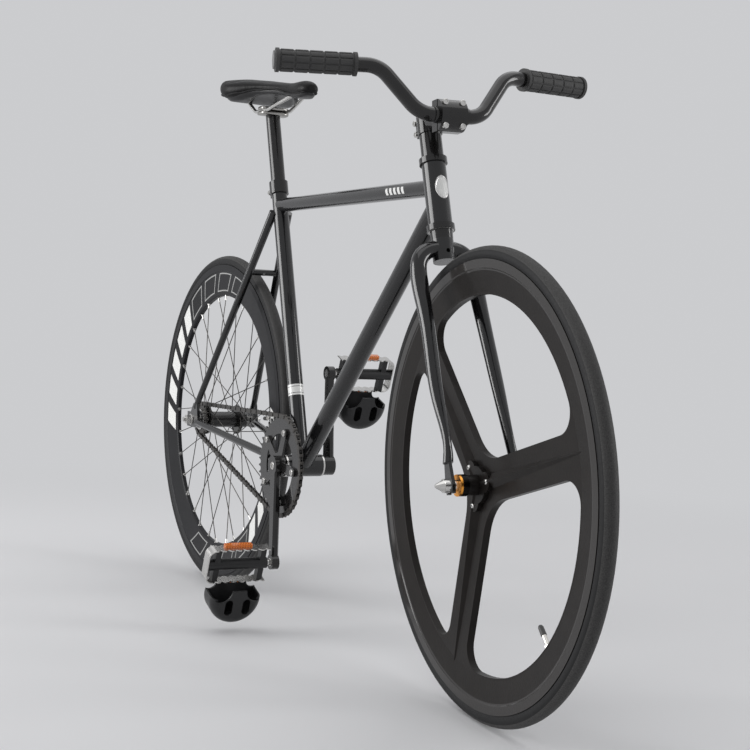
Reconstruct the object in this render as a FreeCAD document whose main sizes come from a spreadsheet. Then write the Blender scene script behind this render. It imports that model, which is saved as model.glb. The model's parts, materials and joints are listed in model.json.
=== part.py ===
import FreeCAD, Part
import math
import os
import re
from FreeCAD import Placement, Rotation, Vector

# A fixed gear bike in millimetres. X points forward, Y to the rider's left, Z up.
# The origin is on the floor, halfway between the two wheels.

# Driving dimensions
SIZES = {
    # stance
    "wheelbase": 1015.5,
    "tyre_radius": 335.0,
    "bottom_bracket_drop": 47.0,
    "seat_angle": 72.5,
    "head_angle": 72.25,
    "fork_rake": 44.0,
    "steering_rest_turn": -5.0,
    # clearances
    "seat_gap": 0.05,
    "running_gap": 0.05,
    "swing_gap": 0.3,
    # drive
    "chain_pitch": 12.7,
    "chain_links": 94,
    "ring_teeth": 44,
    "cog_teeth": 16,
    "roller_diameter": 7.75,
    "roller_width": 3.3,
    "tooth_clearance": 0.45,
    "tooth_rise": 3.4,
    "tooth_tip": 1.7,
    "link_plate_thickness": 0.9,
    "link_plate_height": 8.4,
    "link_waist": 6.2,
    "chain_pin_diameter": 3.6,
    "chain_line": 43.5,
    # frame tubes
    "head_tube_diameter": 37.0,
    "head_tube_bore": 34.0,
    "head_tube_length": 98.0,
    "top_tube_diameter": 26.0,
    "top_tube_height": 761.0,
    "down_tube_diameter": 31.8,
    "down_tube_head_offset": 31.5,
    "seat_tube_diameter": 28.8,
    "seat_tube_length": 537.0,
    "tube_wall": 1.2,
    "shell_diameter": 40.0,
    "shell_bore": 34.8,
    "shell_width": 68.0,
    # rear triangle
    "chainstay_front_diameter": 15.0,
    "chainstay_rear_diameter": 13.0,
    "chainstay_front_spread": 22.0,
    "seatstay_top_diameter": 15.5,
    "seatstay_bottom_diameter": 12.0,
    "seatstay_top_spread": 15.0,
    "seatstay_top_reach": 482.0,
    "stay_wall": 1.6,
    "stay_plug": 26.0,
    "rear_spacing": 120.0,
    "track_end_thickness": 6.0,
    "track_end_height": 30.0,
    "track_end_behind": 24.0,
    "track_end_ahead": 34.0,
    "track_slot_ahead": 12.0,
    "track_tab_rise": 34.0,
    "bridge_diameter": 12.0,
    "brake_bridge_share": 0.29,
    "stay_bridge_share": 0.13,
    "brake_hole_diameter": 6.5,
    # seat collar
    "collar_wall": 3.2,
    "collar_height": 24.0,
    "collar_drop": 19.0,
    "collar_slit": 3.0,
    "collar_lug_reach": 12.0,
    "collar_lug_width": 15.0,
    "collar_bolt_diameter": 5.0,
    "collar_bolt_head": 8.5,
    # rear axle
    "axle_diameter": 10.0,
    "axle_end_diameter": 9.4,
    "axle_end_length": 6.0,
    "axle_nut_diameter": 17.0,
    "axle_nut_height": 10.0,
    "washer_diameter": 22.0,
    "washer_thickness": 2.0,
    "cone_nut_diameter": 16.0,
    "cone_nut_length": 7.0,
    # headset
    "cup_diameter": 43.0,
    "cup_height": 9.0,
    "cup_skirt": 12.0,
    "cup_wall": 1.6,
    "headset_bearing_diameter": 38.0,
    "headset_bearing_height": 7.0,
    "steerer_diameter": 28.6,
    "steerer_wall": 2.2,
    "crown_race_height": 13.7,
    "crown_race_diameter": 35.0,
    "spacer_diameter": 34.0,
    "spacer_height": 13.0,
    "spacer_count": 3,
    "top_cap_height": 5.0,
    # fork
    "axle_to_crown": 377.5,
    "crown_diameter": 34.0,
    "crown_height": 34.0,
    "blade_top_diameter": 25.0,
    "blade_bottom_diameter": 15.0,
    "blade_wall": 1.8,
    "blade_plug": 14.0,
    "blade_arch_radius": 33.0,
    "blade_spread": 44.0,
    "blade_bottom_rise": 32.0,
    "blade_arch_drop": 14.0,
    "front_spacing": 100.0,
    "fork_end_thickness": 5.0,
    "fork_end_width": 24.0,
    "front_axle_diameter": 9.0,
    "front_axle_tip": 70.0,
    "front_nut_diameter": 20.0,
    "front_nut_base": 9.0,
    "front_nut_cone": 12.0,
    "front_nut_tip": 5.0,
    # stem and bar
    "stem_height": 36.0,
    "stem_wall": 4.5,
    "stem_reach": 71.5,
    "stem_drop": 18.0,
    "stem_arm_diameter": 27.0,
    "stem_slit": 3.0,
    "bar_clamp_diameter": 25.4,
    "bar_clamp_length": 56.0,
    "stem_clamp_width": 42.0,
    "stem_clamp_height": 47.0,
    "stem_clamp_depth": 17.0,
    "faceplate_depth": 17.0,
    "faceplate_gap": 2.5,
    "faceplate_bolt_side": 14.0,
    "faceplate_bolt_rise": 17.5,
    "stem_bolt_diameter": 5.0,
    "stem_bolt_head": 9.0,
    "stem_bolt_head_height": 4.5,
    "pinch_bolt_spread": 18.0,
    "bar_diameter": 22.2,
    "bar_wall": 2.0,
    "bar_half_width": 254.0,
    "bar_rise": 68.0,
    "bar_sweep_low": 26.0,
    "bar_sweep_grip": 12.0,
    "bar_bend_low": 50.0,
    "bar_bend_high": 105.0,
    "bar_bend_radius": 40.0,
    "grip_length": 119.0,
    "grip_diameter": 30.5,
    "grip_flange_diameter": 35.0,
    "grip_flange_width": 5.0,
    "plug_thickness": 3.0,
    "plug_depth": 16.0,
    # rims and tyres
    "rim_flange_radius": 316.5,
    "rim_width": 23.0,
    "rim_flange_wall": 2.8,
    "rim_track": 12.5,
    "rim_channel_depth": 11.5,
    "rear_rim_inner_radius": 253.5,
    "rear_rim_nose_width": 5.0,
    "rear_rim_wall": 2.2,
    "tyre_section": 24.0,
    "tyre_wall": 2.6,
    "tyre_neck_depth": 9.5,
    "tyre_mouth": 9.0,
    "tube_gap": 0.4,
    "tube_skin": 0.9,
    "valve_diameter": 6.0,
    "valve_hole_gap": 0.4,
    "front_valve_tip_radius": 247.0,
    "rear_valve_tip_radius": 232.0,
    # tri-spoke wheel
    "tri_spoke_count": 3,
    "tri_spoke_first_angle": 16.0,
    "tri_spoke_width": 58.0,
    "tri_hole_radius": 267.0,
    "tri_hole_rim_fillet": 30.0,
    "tri_hole_hub_fillet": 75.0,
    "tri_web_thickness": 11.0,
    "tri_ridge_width": 17.0,
    "tri_ridge_rise": 5.0,
    "tri_ridge_end_radius": 288.0,
    "tri_hub_radius": 34.0,
    "tri_hub_half_length": 13.0,
    "tri_barrel_radius": 14.5,
    "tri_barrel_half_length": 30.0,
    "hub_cap_radius": 15.5,
    "hub_cap_length": 13.0,
    "hub_bearing_radius": 11.0,
    "hub_bearing_width": 7.0,
    # rear hub
    "spoke_count": 32,
    "spoke_crosses": 3,
    "spoke_diameter": 1.8,
    "spoke_hole_radius": 26.5,
    "spoke_inner_lean": 2.6,
    "spoke_outer_lean": 4.0,
    "nipple_diameter": 4.0,
    "nipple_length": 9.0,
    "flange_radius": 29.8,
    "flange_thickness": 3.0,
    "flange_spread": 33.0,
    "rear_barrel_radius": 16.0,
    "rear_hub_end": 50.0,
    "cog_seat_radius": 17.4,
    "cog_thickness": 2.7,
    "lockring_radius": 21.0,
    "lockring_thickness": 4.0,
    "rear_bearing_radius": 13.0,
    "rear_bearing_width": 8.0,
    # crankset
    "crank_length": 170.0,
    "crank_rest_angle": -76.0,
    "crank_boss_radius": 18.0,
    "crank_boss_inner": 39.0,
    "crank_boss_outer": 59.0,
    "crank_eye_radius": 13.0,
    "crank_eye_inner": 60.0,
    "crank_eye_outer": 73.0,
    "crank_arm_width_boss": 27.0,
    "crank_arm_width_eye": 19.0,
    "crank_arm_thickness": 12.0,
    "spindle_diameter": 17.0,
    "spindle_square": 12.7,
    "spindle_tip": 55.0,
    "spider_arms": 5,
    "spider_hub_radius": 23.0,
    "bolt_circle_diameter": 130.0,
    "spider_arm_width": 15.0,
    "spider_thickness": 4.0,
    "ring_thickness": 2.6,
    "ring_inner_radius": 57.0,
    "ring_bolt_diameter": 8.0,
    "ring_bolt_head": 12.0,
    "ring_bolt_head_height": 1.8,
    "crank_bolt_diameter": 15.0,
    "crank_bolt_height": 3.0,
    "bb_cup_flange": 3.0,
    "bb_cup_depth": 18.0,
    "bb_bearing_diameter": 28.0,
    "bb_bearing_width": 9.0,
    # pedals
    "pedal_spindle_thread": 14.0,
    "pedal_spindle_diameter": 11.0,
    "pedal_gap": 8.0,
    "pedal_rest_tilt": 20.0,
    "pedal_width": 112.0,
    "pedal_length": 64.0,
    "pedal_barrel_diameter": 20.0,
    "pedal_bar_width": 10.0,
    "pedal_bar_height": 13.0,
    "cage_height": 21.0,
    "cage_thickness": 2.0,
    "cage_corner": 14.0,
    "cage_teeth": 7,
    "cage_tooth_depth": 4.0,
    "reflector_width": 50.0,
    "reflector_height": 9.0,
    "reflector_depth": 4.8,
    "clip_width": 92.0,
    "clip_reach": 70.0,
    "clip_height": 46.0,
    "clip_corner": 20.0,
    "clip_thickness": 3.0,
    "clip_neck": 56.0,
    "clip_scallop": 24.0,
    "clip_mouth": 6.0,
    "clip_tongue": 26.0,
    "clip_shoulder": 22.0,
    "clip_window": 14.0,
    "clip_window_length": 30.0,
    "clip_window_ahead": 8.0,
    "clip_window_spread": 32.0,
    # seat
    "post_diameter": 27.2,
    "post_wall": 2.4,
    "post_bottom_reach": 395.0,
    "post_top_reach": 676.0,
    "cradle_length": 44.0,
    "cradle_width": 54.0,
    "cradle_height": 9.0,
    "cradle_gap": 1.6,
    "clamp_bolt_diameter": 6.0,
    "clamp_bolt_head": 12.0,
    "clamp_bolt_head_height": 5.0,
    "rail_diameter": 7.0,
    "rail_spread": 22.0,
    "rail_straight": 64.0,
    "rail_bend_radius": 24.0,
    "rail_front_reach": 104.0,
    "rail_front_rise": 21.0,
    "rail_rear_reach": 76.0,
    "rail_rear_rise": 27.0,
    "rail_nose_spread": 9.0,
    "saddle_length": 294.0,
    "saddle_width": 156.0,
    "saddle_nose_width": 40.0,
    "saddle_tail_behind": 118.0,
    "saddle_base_rise": 24.0,
    "saddle_nose_drop": 9.0,
    "saddle_tail_lift": 14.0,
    "saddle_thickness": 36.0,
    "saddle_shell_thickness": 4.0,
    "saddle_shell_inset": 7.0,
}

doc = FreeCAD.newDocument("fixed_gear_bike")
sheet = doc.addObject("Spreadsheet::Sheet", "sizes")


def enter(name, value):
    """Write one named number into the sheet."""
    enter.row += 1
    sheet.set(f"A{enter.row}", name)
    sheet.set(f"B{enter.row}", str(value))
    sheet.setAlias(f"B{enter.row}", name)
    return value


enter.row = 0
for size_name, size_value in SIZES.items():
    enter(size_name, size_value)
doc.recompute()


def size(name):
    """Read one number back from the sheet."""
    return float(sheet.get(name))


def count(name):
    """Read one whole number back from the sheet."""
    return int(round(size(name)))


def formula(text):
    """Turn bare size names into references to the sheet."""
    return re.sub(r"[a-z][a-z_]+", lambda found: "sizes." + found.group(0), str(text))


def bind(item, **rules):
    """Tie properties of an object to formulas on the sheet."""
    for prop, text in rules.items():
        item.setExpression(prop, formula(text))
    return item


def derive(name, value):
    """Enter a worked-out length in the sheet and give back its name."""
    enter(name, round(value, 6))
    sheet.recompute()
    return name


# Directions and placements
ACROSS = Vector(0, 1, 0)
UP = Vector(0, 0, 1)
SIDES = {"right": -1, "left": 1}


def pose(origin, along, across=None):
    """Placement whose Z runs along one direction and whose X leans to another."""
    z_axis = Vector(along).normalize()
    if across is None:
        across = Vector(1, 0, 0) if abs(z_axis.x) < 0.9 else ACROSS
    y_axis = z_axis.cross(across).normalize()
    x_axis = y_axis.cross(z_axis)
    return Placement(Vector(origin), Rotation(x_axis, y_axis, z_axis, "ZYX"))


def rod(radius, height, place):
    """A cylinder along the placement's Z."""
    item = doc.addObject("Part::Cylinder", "rod")
    item.Placement = place
    return bind(item, Radius=radius, Height=height)


def taper(start_radius, end_radius, height, place):
    """A cone along the placement's Z."""
    item = doc.addObject("Part::Cone", "taper")
    item.Placement = place
    return bind(item, Radius1=start_radius, Radius2=end_radius, Height=height)


def block(length, width, height, place):
    """A box whose base is centred on the placement."""
    item = doc.addObject("Part::Box", "block")
    bind(item, Length=length, Width=width, Height=height)
    item.recompute()
    shift = Vector(-item.Length.Value / 2, -item.Width.Value / 2, 0)
    item.Placement = place.multiply(Placement(shift, Rotation()))
    return item


def hoop(middle_radius, section_radius, place):
    """A full torus round the placement's Z."""
    item = doc.addObject("Part::Torus", "hoop")
    item.Placement = place
    return bind(item, Radius1=middle_radius, Radius2=section_radius)


def fuse(*items):
    """Join overlapping solids into one."""
    item = doc.addObject("Part::MultiFuse", "fuse")
    item.Shapes = list(items)
    item.Refine = True
    return item


def cut(base, *tools):
    """Take tools away from a base."""
    item = doc.addObject("Part::Cut", "cut")
    item.Base = base
    item.Tool = tools[0] if len(tools) == 1 else fuse(*tools)
    item.Refine = True
    return item


def common(first, second):
    """Keep what two solids share."""
    item = doc.addObject("Part::Common", "common")
    item.Base = first
    item.Tool = second
    return item


def group(*items):
    """Hold separate solids together as one object."""
    item = doc.addObject("Part::Compound", "group")
    item.Links = list(items)
    return item


def feature(shape, name="form"):
    """An object for a shape that no standard feature gives."""
    item = doc.addObject("Part::Feature", name)
    item.Shape = shape
    return item


def ring(outer_radius, inner_radius, height, place):
    """A round sleeve along the placement's Z."""
    return cut(rod(outer_radius, height, place), rod(inner_radius, height, place))


def body_plane(body, role):
    """One of a body's own origin planes or axes."""
    return next(item for item in body.Origin.OriginFeatures if item.Role == role)


def sketch_on(body, role, edges, lift=0.0):
    """A sketch of given edges on an origin plane of its body."""
    sketch = body.newObject("Sketcher::SketchObject", "outline")
    sketch.AttachmentSupport = [(body_plane(body, role), "")]
    sketch.MapMode = "FlatFace"
    sketch.AttachmentOffset = Placement(Vector(0, 0, lift), Rotation())
    for edge in edges:
        sketch.addGeometry(edge, False)
    return sketch


def polygon(points):
    """Closed straight edges through flat points."""
    corners = [Vector(x, y, 0) for x, y in points]
    return [Part.LineSegment(a, b) for a, b in zip(corners, corners[1:] + corners[:1])]


def circle(radius, x=0.0, y=0.0):
    """One round edge in a sketch."""
    return [Part.Circle(Vector(x, y, 0), Vector(0, 0, 1), radius)]


def pad(body, sketch, length, midplane=False):
    """Raise a sketch into a solid."""
    item = body.newObject("PartDesign::Pad", "pad")
    item.Profile = sketch
    item.Midplane = midplane
    return bind(item, Length=length)


def pocket(body, sketch, length):
    """Sink a sketch through a solid, the same depth to both sides."""
    item = body.newObject("PartDesign::Pocket", "pocket")
    item.Profile = sketch
    item.Midplane = True
    return bind(item, Length=length)


def polar(body, feature_item, copies):
    """Repeat a feature round the body's Z axis."""
    item = body.newObject("PartDesign::PolarPattern", "pattern")
    item.Originals = [feature_item]
    item.Axis = (body_plane(body, "Z_Axis"), [""])
    item.Angle = 360
    bind(item, Occurrences=copies)
    body.Tip = item
    return item


def turned(body, edges):
    """Revolve a radius and axle profile about the body's Y axis."""
    sketch = sketch_on(body, "XY_Plane", edges)
    item = body.newObject("PartDesign::Revolution", "turned")
    item.Profile = sketch
    item.ReferenceAxis = (body_plane(body, "Y_Axis"), [""])
    item.Angle = 360
    return item


def new_body(place=None):
    """An empty feature body at a placement."""
    body = doc.addObject("PartDesign::Body", "body")
    if place is not None:
        body.Placement = place
    return body


def route(points, radius):
    """A wire of straight runs joined by tangent arcs."""
    edges = []
    start = points[0]
    for before, corner, after in zip(points, points[1:], points[2:]):
        back = (before - corner).normalize()
        ahead = (after - corner).normalize()
        half_turn = (math.pi - back.getAngle(ahead)) / 2
        trim = radius * math.tan(half_turn)
        arc_start = corner + back * trim
        arc_end = corner + ahead * trim
        inward = (back + ahead).normalize()
        middle = corner + inward * (radius / math.cos(half_turn) - radius)
        edges.append(Part.LineSegment(start, arc_start).toShape())
        edges.append(Part.Arc(arc_start, middle, arc_end).toShape())
        start = arc_end
    edges.append(Part.LineSegment(start, points[-1]).toShape())
    return Part.Wire(edges)


def pipe(path, radius):
    """A round bar along a wire."""
    first = path.Edges[0]
    tangent = first.tangentAt(first.FirstParameter)
    section = Part.Wire(Part.makeCircle(radius, path.Vertexes[0].Point, tangent))
    return path.makePipeShell([section], True, True)


# Nodes, by name, in the order they are written
NODES = {}


def keep(name, item, place=None):
    """Name an object as a sub-part, with an extra placement where it is turned."""
    item.Label = name
    if place is not None:
        item.Placement = place.multiply(item.Placement)
    NODES[name] = item
    return item


# Layout worked out from the driving dimensions
PITCH = size("chain_pitch")
RING_RADIUS = PITCH / 2 / math.sin(math.pi / count("ring_teeth"))
COG_RADIUS = PITCH / 2 / math.sin(math.pi / count("cog_teeth"))


def chain_pins(distance):
    """Pin centres round both sprockets, ring at the origin, cog at minus distance."""
    lean = math.asin((RING_RADIUS - COG_RADIUS) / distance)
    span = math.sqrt(distance ** 2 - (RING_RADIUS - COG_RADIUS) ** 2)
    run = Vector(-math.cos(lean), -math.sin(lean), 0)
    cog = Vector(-distance, 0, 0)
    point = Vector(-math.sin(lean), math.cos(lean), 0) * RING_RADIUS
    pins = [point]
    travel = PITCH
    while travel < span:
        pins.append(point + run * travel)
        travel += PITCH
    step = 2 * math.asin(PITCH / 2 / COG_RADIUS)
    reach = (pins[-1] - cog).Length
    bend = math.acos((reach ** 2 + COG_RADIUS ** 2 - PITCH ** 2) / (2 * reach * COG_RADIUS))
    angle = math.atan2(pins[-1].y - cog.y, pins[-1].x - cog.x) + bend
    last = 3 * math.pi / 2 - lean
    while angle < last:
        pins.append(cog + Vector(math.cos(angle), math.sin(angle), 0) * COG_RADIUS)
        angle += step
    back = Vector(math.cos(lean), -math.sin(lean), 0)
    foot = cog + Vector(-math.sin(lean), -math.cos(lean), 0) * COG_RADIUS
    sag = abs((pins[-1] - foot).dot(Vector(-math.sin(lean), -math.cos(lean), 0)))
    travel = (pins[-1] - foot).dot(back) + math.sqrt(PITCH ** 2 - sag ** 2)
    while travel < span:
        pins.append(foot + back * travel)
        travel += PITCH
    reach = pins[-1].Length
    bend = math.acos((reach ** 2 + RING_RADIUS ** 2 - PITCH ** 2) / (2 * reach * RING_RADIUS))
    angle = math.atan2(pins[-1].y, pins[-1].x) + bend
    step = 2 * math.asin(PITCH / 2 / RING_RADIUS)
    while len(pins) < count("chain_links"):
        pins.append(Vector(math.cos(angle), math.sin(angle), 0) * RING_RADIUS)
        angle += step
    start = math.atan2(pins[0].y, pins[0].x)
    miss = math.remainder(angle - start, 2 * math.pi) * RING_RADIUS
    return pins, miss


def tight_distance():
    """The axle distance at which the chain closes on itself."""
    teeth = (count("ring_teeth") + count("cog_teeth")) / 2
    low = (count("chain_links") - teeth) * PITCH / 2 - PITCH
    high = low + PITCH
    for _ in range(60):
        middle = (low + high) / 2
        if chain_pins(middle)[1] > 0:
            low = middle
        else:
            high = middle
    return middle


AXLE_DISTANCE = tight_distance()
CHAIN_PINS, CHAIN_MISS = chain_pins(AXLE_DISTANCE)
REAR = Vector(-size("wheelbase") / 2, 0, size("tyre_radius"))
FRONT = Vector(size("wheelbase") / 2, 0, size("tyre_radius"))
DROP = size("bottom_bracket_drop")
BRACKET = REAR + Vector(math.sqrt(AXLE_DISTANCE ** 2 - DROP ** 2), 0, -DROP)
DRIVE_TILT = math.atan2(-DROP, BRACKET.x - REAR.x)

SEAT_LEAN = math.radians(size("seat_angle"))
SEAT_UP = Vector(-math.cos(SEAT_LEAN), 0, math.sin(SEAT_LEAN))
HEAD_LEAN = math.radians(size("head_angle"))
HEAD_UP = Vector(-math.cos(HEAD_LEAN), 0, math.sin(HEAD_LEAN))
HEAD_AHEAD = Vector(math.sin(HEAD_LEAN), 0, math.cos(HEAD_LEAN))
HEAD_FOOT = FRONT - HEAD_AHEAD * size("fork_rake")
STEER = Placement(Vector(), Rotation(HEAD_UP, size("steering_rest_turn")), HEAD_FOOT)

LOWER_CUP = size("axle_to_crown") + size("crown_race_height") + size("swing_gap")
HEAD_LOW = LOWER_CUP + size("cup_height")
HEAD_HIGH = HEAD_LOW + size("head_tube_length")
UPPER_CUP = HEAD_HIGH + size("cup_height")
STACK_LOW = UPPER_CUP + size("swing_gap")
STEM_LOW = STACK_LOW + count("spacer_count") * size("spacer_height")
STEM_HIGH = STEM_LOW + size("stem_height")


def on_seat(reach):
    """A point on the seat tube's axis."""
    return BRACKET + SEAT_UP * reach


def on_head(height, ahead=0.0, side=0.0):
    """A point by height along the steering axis, forward of it and to its left."""
    return HEAD_FOOT + HEAD_UP * height + HEAD_AHEAD * ahead + ACROSS * side


def beside(point, y):
    """The same point at another place across the bike."""
    return Vector(point.x, y, point.z)


def frame_tubes():
    """Main triangle: each tube mitred against those that it meets."""
    head_at = pose(on_head(HEAD_LOW), HEAD_UP)
    head_solid = rod("head_tube_diameter / 2", "head_tube_length", head_at)
    head_hole = rod("head_tube_bore / 2", "head_tube_length", head_at)
    keep("head_tube", cut(head_solid, head_hole))

    shell_at = pose(beside(BRACKET, -size("shell_width") / 2), ACROSS)
    shell_solid = rod("shell_diameter / 2", "shell_width", shell_at)
    shell_hole = rod("shell_bore / 2", "shell_width", shell_at)
    keep("bottom_bracket_shell", cut(shell_solid, shell_hole))

    seat_at = pose(BRACKET, SEAT_UP)
    seat_solid = rod("seat_tube_diameter / 2", "seat_tube_length", seat_at)
    seat_hole = rod("post_diameter / 2 + running_gap", "seat_tube_length", seat_at)
    keep("seat_tube", cut(seat_solid, seat_hole, shell_solid))

    rise = (size("top_tube_height") - BRACKET.z) / math.sin(SEAT_LEAN)
    top_rear = on_seat(rise)
    top_front = on_head((size("top_tube_height") - HEAD_FOOT.z) / math.sin(HEAD_LEAN))
    top_length = derive("top_tube_reach", (top_front - top_rear).Length)
    top_at = pose(top_rear, top_front - top_rear)
    top_solid = rod("top_tube_diameter / 2", top_length, top_at)
    top_hole = rod("top_tube_diameter / 2 - tube_wall", top_length, top_at)
    keep("top_tube", cut(top_solid, top_hole, seat_solid, head_solid))

    down_front = on_head(HEAD_LOW + size("down_tube_head_offset"))
    down_length = derive("down_tube_reach", (down_front - BRACKET).Length)
    down_at = pose(BRACKET, down_front - BRACKET)
    down_solid = rod("down_tube_diameter / 2", down_length, down_at)
    down_hole = rod("down_tube_diameter / 2 - tube_wall", down_length, down_at)
    keep("down_tube", cut(down_solid, down_hole, shell_solid, seat_solid, head_solid))
    return seat_solid, shell_solid


def track_end(sign):
    """A slotted plate that opens to the rear and holds one end of the rear axle."""
    half = size("track_end_height") / 2
    behind = size("track_end_behind")
    ahead = size("track_end_ahead")
    tab = size("track_tab_rise")
    slot = size("axle_diameter") / 2 + size("running_gap")
    slot_front = size("track_slot_ahead")
    middle = sign * (size("rear_spacing") + size("track_end_thickness")) / 2
    body = new_body(pose(beside(REAR, middle), ACROSS, Vector(1, 0, 0)))
    outline = [
        (-behind, -half),
        (ahead * 0.6, -half),
        (ahead, -half * 0.7),
        (ahead, half * 0.2),
        (tab * 0.75, tab),
        (tab * 0.25, tab),
        (-half * 0.4, half),
        (-behind, half),
    ]
    flipped = [(x, -z) for x, z in outline]
    pad(body, sketch_on(body, "XY_Plane", polygon(flipped)), "track_end_thickness", True)
    reach = behind + 1
    cutout = [(-reach, -slot), (slot_front, -slot), (slot_front, slot), (-reach, slot)]
    pocket(body, sketch_on(body, "XY_Plane", polygon(cutout)), "track_end_thickness * 2")
    return body


def tapered_stay(name, front, rear, front_size, rear_size):
    """A hollow tapered tube with solid ends, as an outer solid and its hollow."""
    length = (rear - front).Length
    length_name = derive(name + "_reach", length)
    along = rear - front
    outer = taper(f"{front_size} / 2", f"{rear_size} / 2", length_name, pose(front, along))
    start = front + Vector(along).normalize() * size("stay_plug")
    inner = taper(
        f"{front_size} / 2 - stay_wall",
        f"{rear_size} / 2 - stay_wall",
        f"{length_name} - stay_plug * 2",
        pose(start, along),
    )
    return outer, inner


def rear_triangle(seat_solid, shell_solid):
    """Stays, track ends and the two bridges between the stays."""
    chainstays, seatstays, plates = [], [], []
    outers = {}
    middle = (size("rear_spacing") + size("track_end_thickness")) / 2
    chain_rear = REAR + Vector(size("track_end_ahead") * 0.75, 0, -size("track_end_height") * 0.12)
    seat_rear = REAR + Vector(size("track_tab_rise") * 0.4, 0, size("track_tab_rise") * 0.72)
    seat_front = on_seat(size("seatstay_top_reach"))
    for side, sign in SIDES.items():
        plate = track_end(sign)
        plates.append(plate)
        front = beside(BRACKET, sign * size("chainstay_front_spread"))
        rear = beside(chain_rear, sign * middle)
        outer, inner = tapered_stay(
            f"{side}_chainstay", front, rear, "chainstay_front_diameter", "chainstay_rear_diameter"
        )
        chainstays.append(cut(outer, inner, shell_solid, plate))
        outers[side, "low"] = (outer, front, rear)
        front = beside(seat_front, sign * size("seatstay_top_spread"))
        rear = beside(seat_rear, sign * middle)
        outer, inner = tapered_stay(
            f"{side}_seatstay", front, rear, "seatstay_top_diameter", "seatstay_bottom_diameter"
        )
        seatstays.append(cut(outer, inner, seat_solid, plate))
        outers[side, "high"] = (outer, front, rear)
    keep("chainstays", group(*chainstays))
    keep("seatstays", group(*seatstays))
    keep("track_ends", group(*plates))

    bridges = []
    for level, share in (("high", "brake_bridge_share"), ("low", "stay_bridge_share")):
        right, front, rear = outers["right", level]
        left = outers["left", level][0]
        spot = front + (rear - front) * size(share)
        width = derive(f"{level}_bridge_width", abs(spot.y) * 2)
        at = pose(spot, ACROSS)
        bar = rod("bridge_diameter / 2", width, at)
        tools = [right, left]
        if level == "high":
            ahead = Vector(rear.x - front.x, 0, rear.z - front.z).cross(ACROSS)
            start = beside(spot, 0) - ahead.normalize() * size("bridge_diameter")
            tools.append(rod("brake_hole_diameter / 2", "bridge_diameter * 2", pose(start, ahead)))
        bridges.append(cut(bar, *tools))
    keep("stay_bridges", group(*bridges))


def seat_collar():
    """Split clamp round the top of the seat tube, with its bolt behind."""
    low = size("seat_tube_length") - size("collar_drop")
    at = pose(on_seat(low), SEAT_UP, ACROSS)
    back = Vector(-math.sin(SEAT_LEAN), 0, -math.cos(SEAT_LEAN))
    bore = "seat_tube_diameter / 2 + seat_gap"
    outer = size("seat_tube_diameter") / 2 + size("collar_wall")
    shell = rod(f"{bore} + collar_wall", "collar_height", at)
    lug_middle = on_seat(low) + back * outer
    lug_at = pose(lug_middle, SEAT_UP, ACROSS)
    lug = block("collar_lug_width", "collar_lug_reach", "collar_height * 0.8", lug_at)
    slit = block(
        "collar_slit", "collar_lug_reach * 3", "collar_height * 2",
        pose(lug_middle - SEAT_UP * size("collar_height") / 2, SEAT_UP, ACROSS),
    )
    hole = rod(bore, "collar_height", at)
    bolt_spot = lug_middle + back * size("collar_lug_reach") * 0.18 + SEAT_UP * size("collar_height") * 0.4
    half = size("collar_lug_width") / 2
    bolt_hole_at = pose(beside(bolt_spot, -half), ACROSS)
    bolt_hole = rod("collar_bolt_diameter / 2 + seat_gap", "collar_lug_width", bolt_hole_at)
    collar = cut(fuse(shell, lug), slit, hole, bolt_hole)
    head = rod("collar_bolt_head / 2", "collar_bolt_diameter", pose(beside(bolt_spot, -half), -ACROSS))
    nut = rod("collar_bolt_head / 2", "collar_bolt_diameter * 0.8", pose(beside(bolt_spot, half), ACROSS))
    shank = rod("collar_bolt_diameter / 2", "collar_lug_width", bolt_hole_at)
    keep("seat_collar", group(collar, fuse(head, shank, nut)))


def headset_cups():
    """Pressed cups: a flanged ring that holds the bearing, and a skirt in the head tube."""
    cups = []
    for low, away in ((HEAD_LOW, -1), (HEAD_HIGH, 1)):
        at = pose(on_head(low), HEAD_UP * away)
        inside = pose(on_head(low), HEAD_UP * -away)
        flange = rod("cup_diameter / 2", "cup_height", at)
        skirt = rod("head_tube_bore / 2 - seat_gap", "cup_skirt", inside)
        floor = size("cup_height") - size("headset_bearing_height")
        seat = rod(
            "headset_bearing_diameter / 2 + running_gap", "cup_height",
            pose(on_head(low + away * floor), HEAD_UP * away),
        )
        through = rod(
            "head_tube_bore / 2 - cup_wall", "cup_height + cup_skirt",
            pose(on_head(low) - HEAD_UP * away * size("cup_skirt"), HEAD_UP * away),
        )
        cups.append(cut(fuse(flange, skirt), seat, through))
    keep("headset_cups", group(*cups))


def bottom_bracket():
    """Threaded cups with their bearings, which carry the crank spindle."""
    pieces = []
    for sign in SIDES.values():
        face = beside(BRACKET, sign * size("shell_width") / 2)
        outward = ACROSS * sign
        flange = rod("shell_diameter / 2", "bb_cup_flange", pose(face, outward))
        sleeve = rod("shell_bore / 2 - seat_gap", "bb_cup_depth", pose(face, -outward))
        hole = rod(
            "bb_bearing_diameter / 2 + seat_gap", "bb_cup_depth + bb_cup_flange",
            pose(face - outward * size("bb_cup_depth"), outward),
        )
        pieces.append(cut(fuse(flange, sleeve), hole))
        bearing_at = pose(face + outward * (size("bb_cup_flange") - size("bb_bearing_width")), outward)
        hole = "spindle_diameter / 2 + running_gap"
        pieces.append(ring("bb_bearing_diameter / 2", hole, "bb_bearing_width", bearing_at))
    keep("bottom_bracket_cups", group(*pieces))


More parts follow.
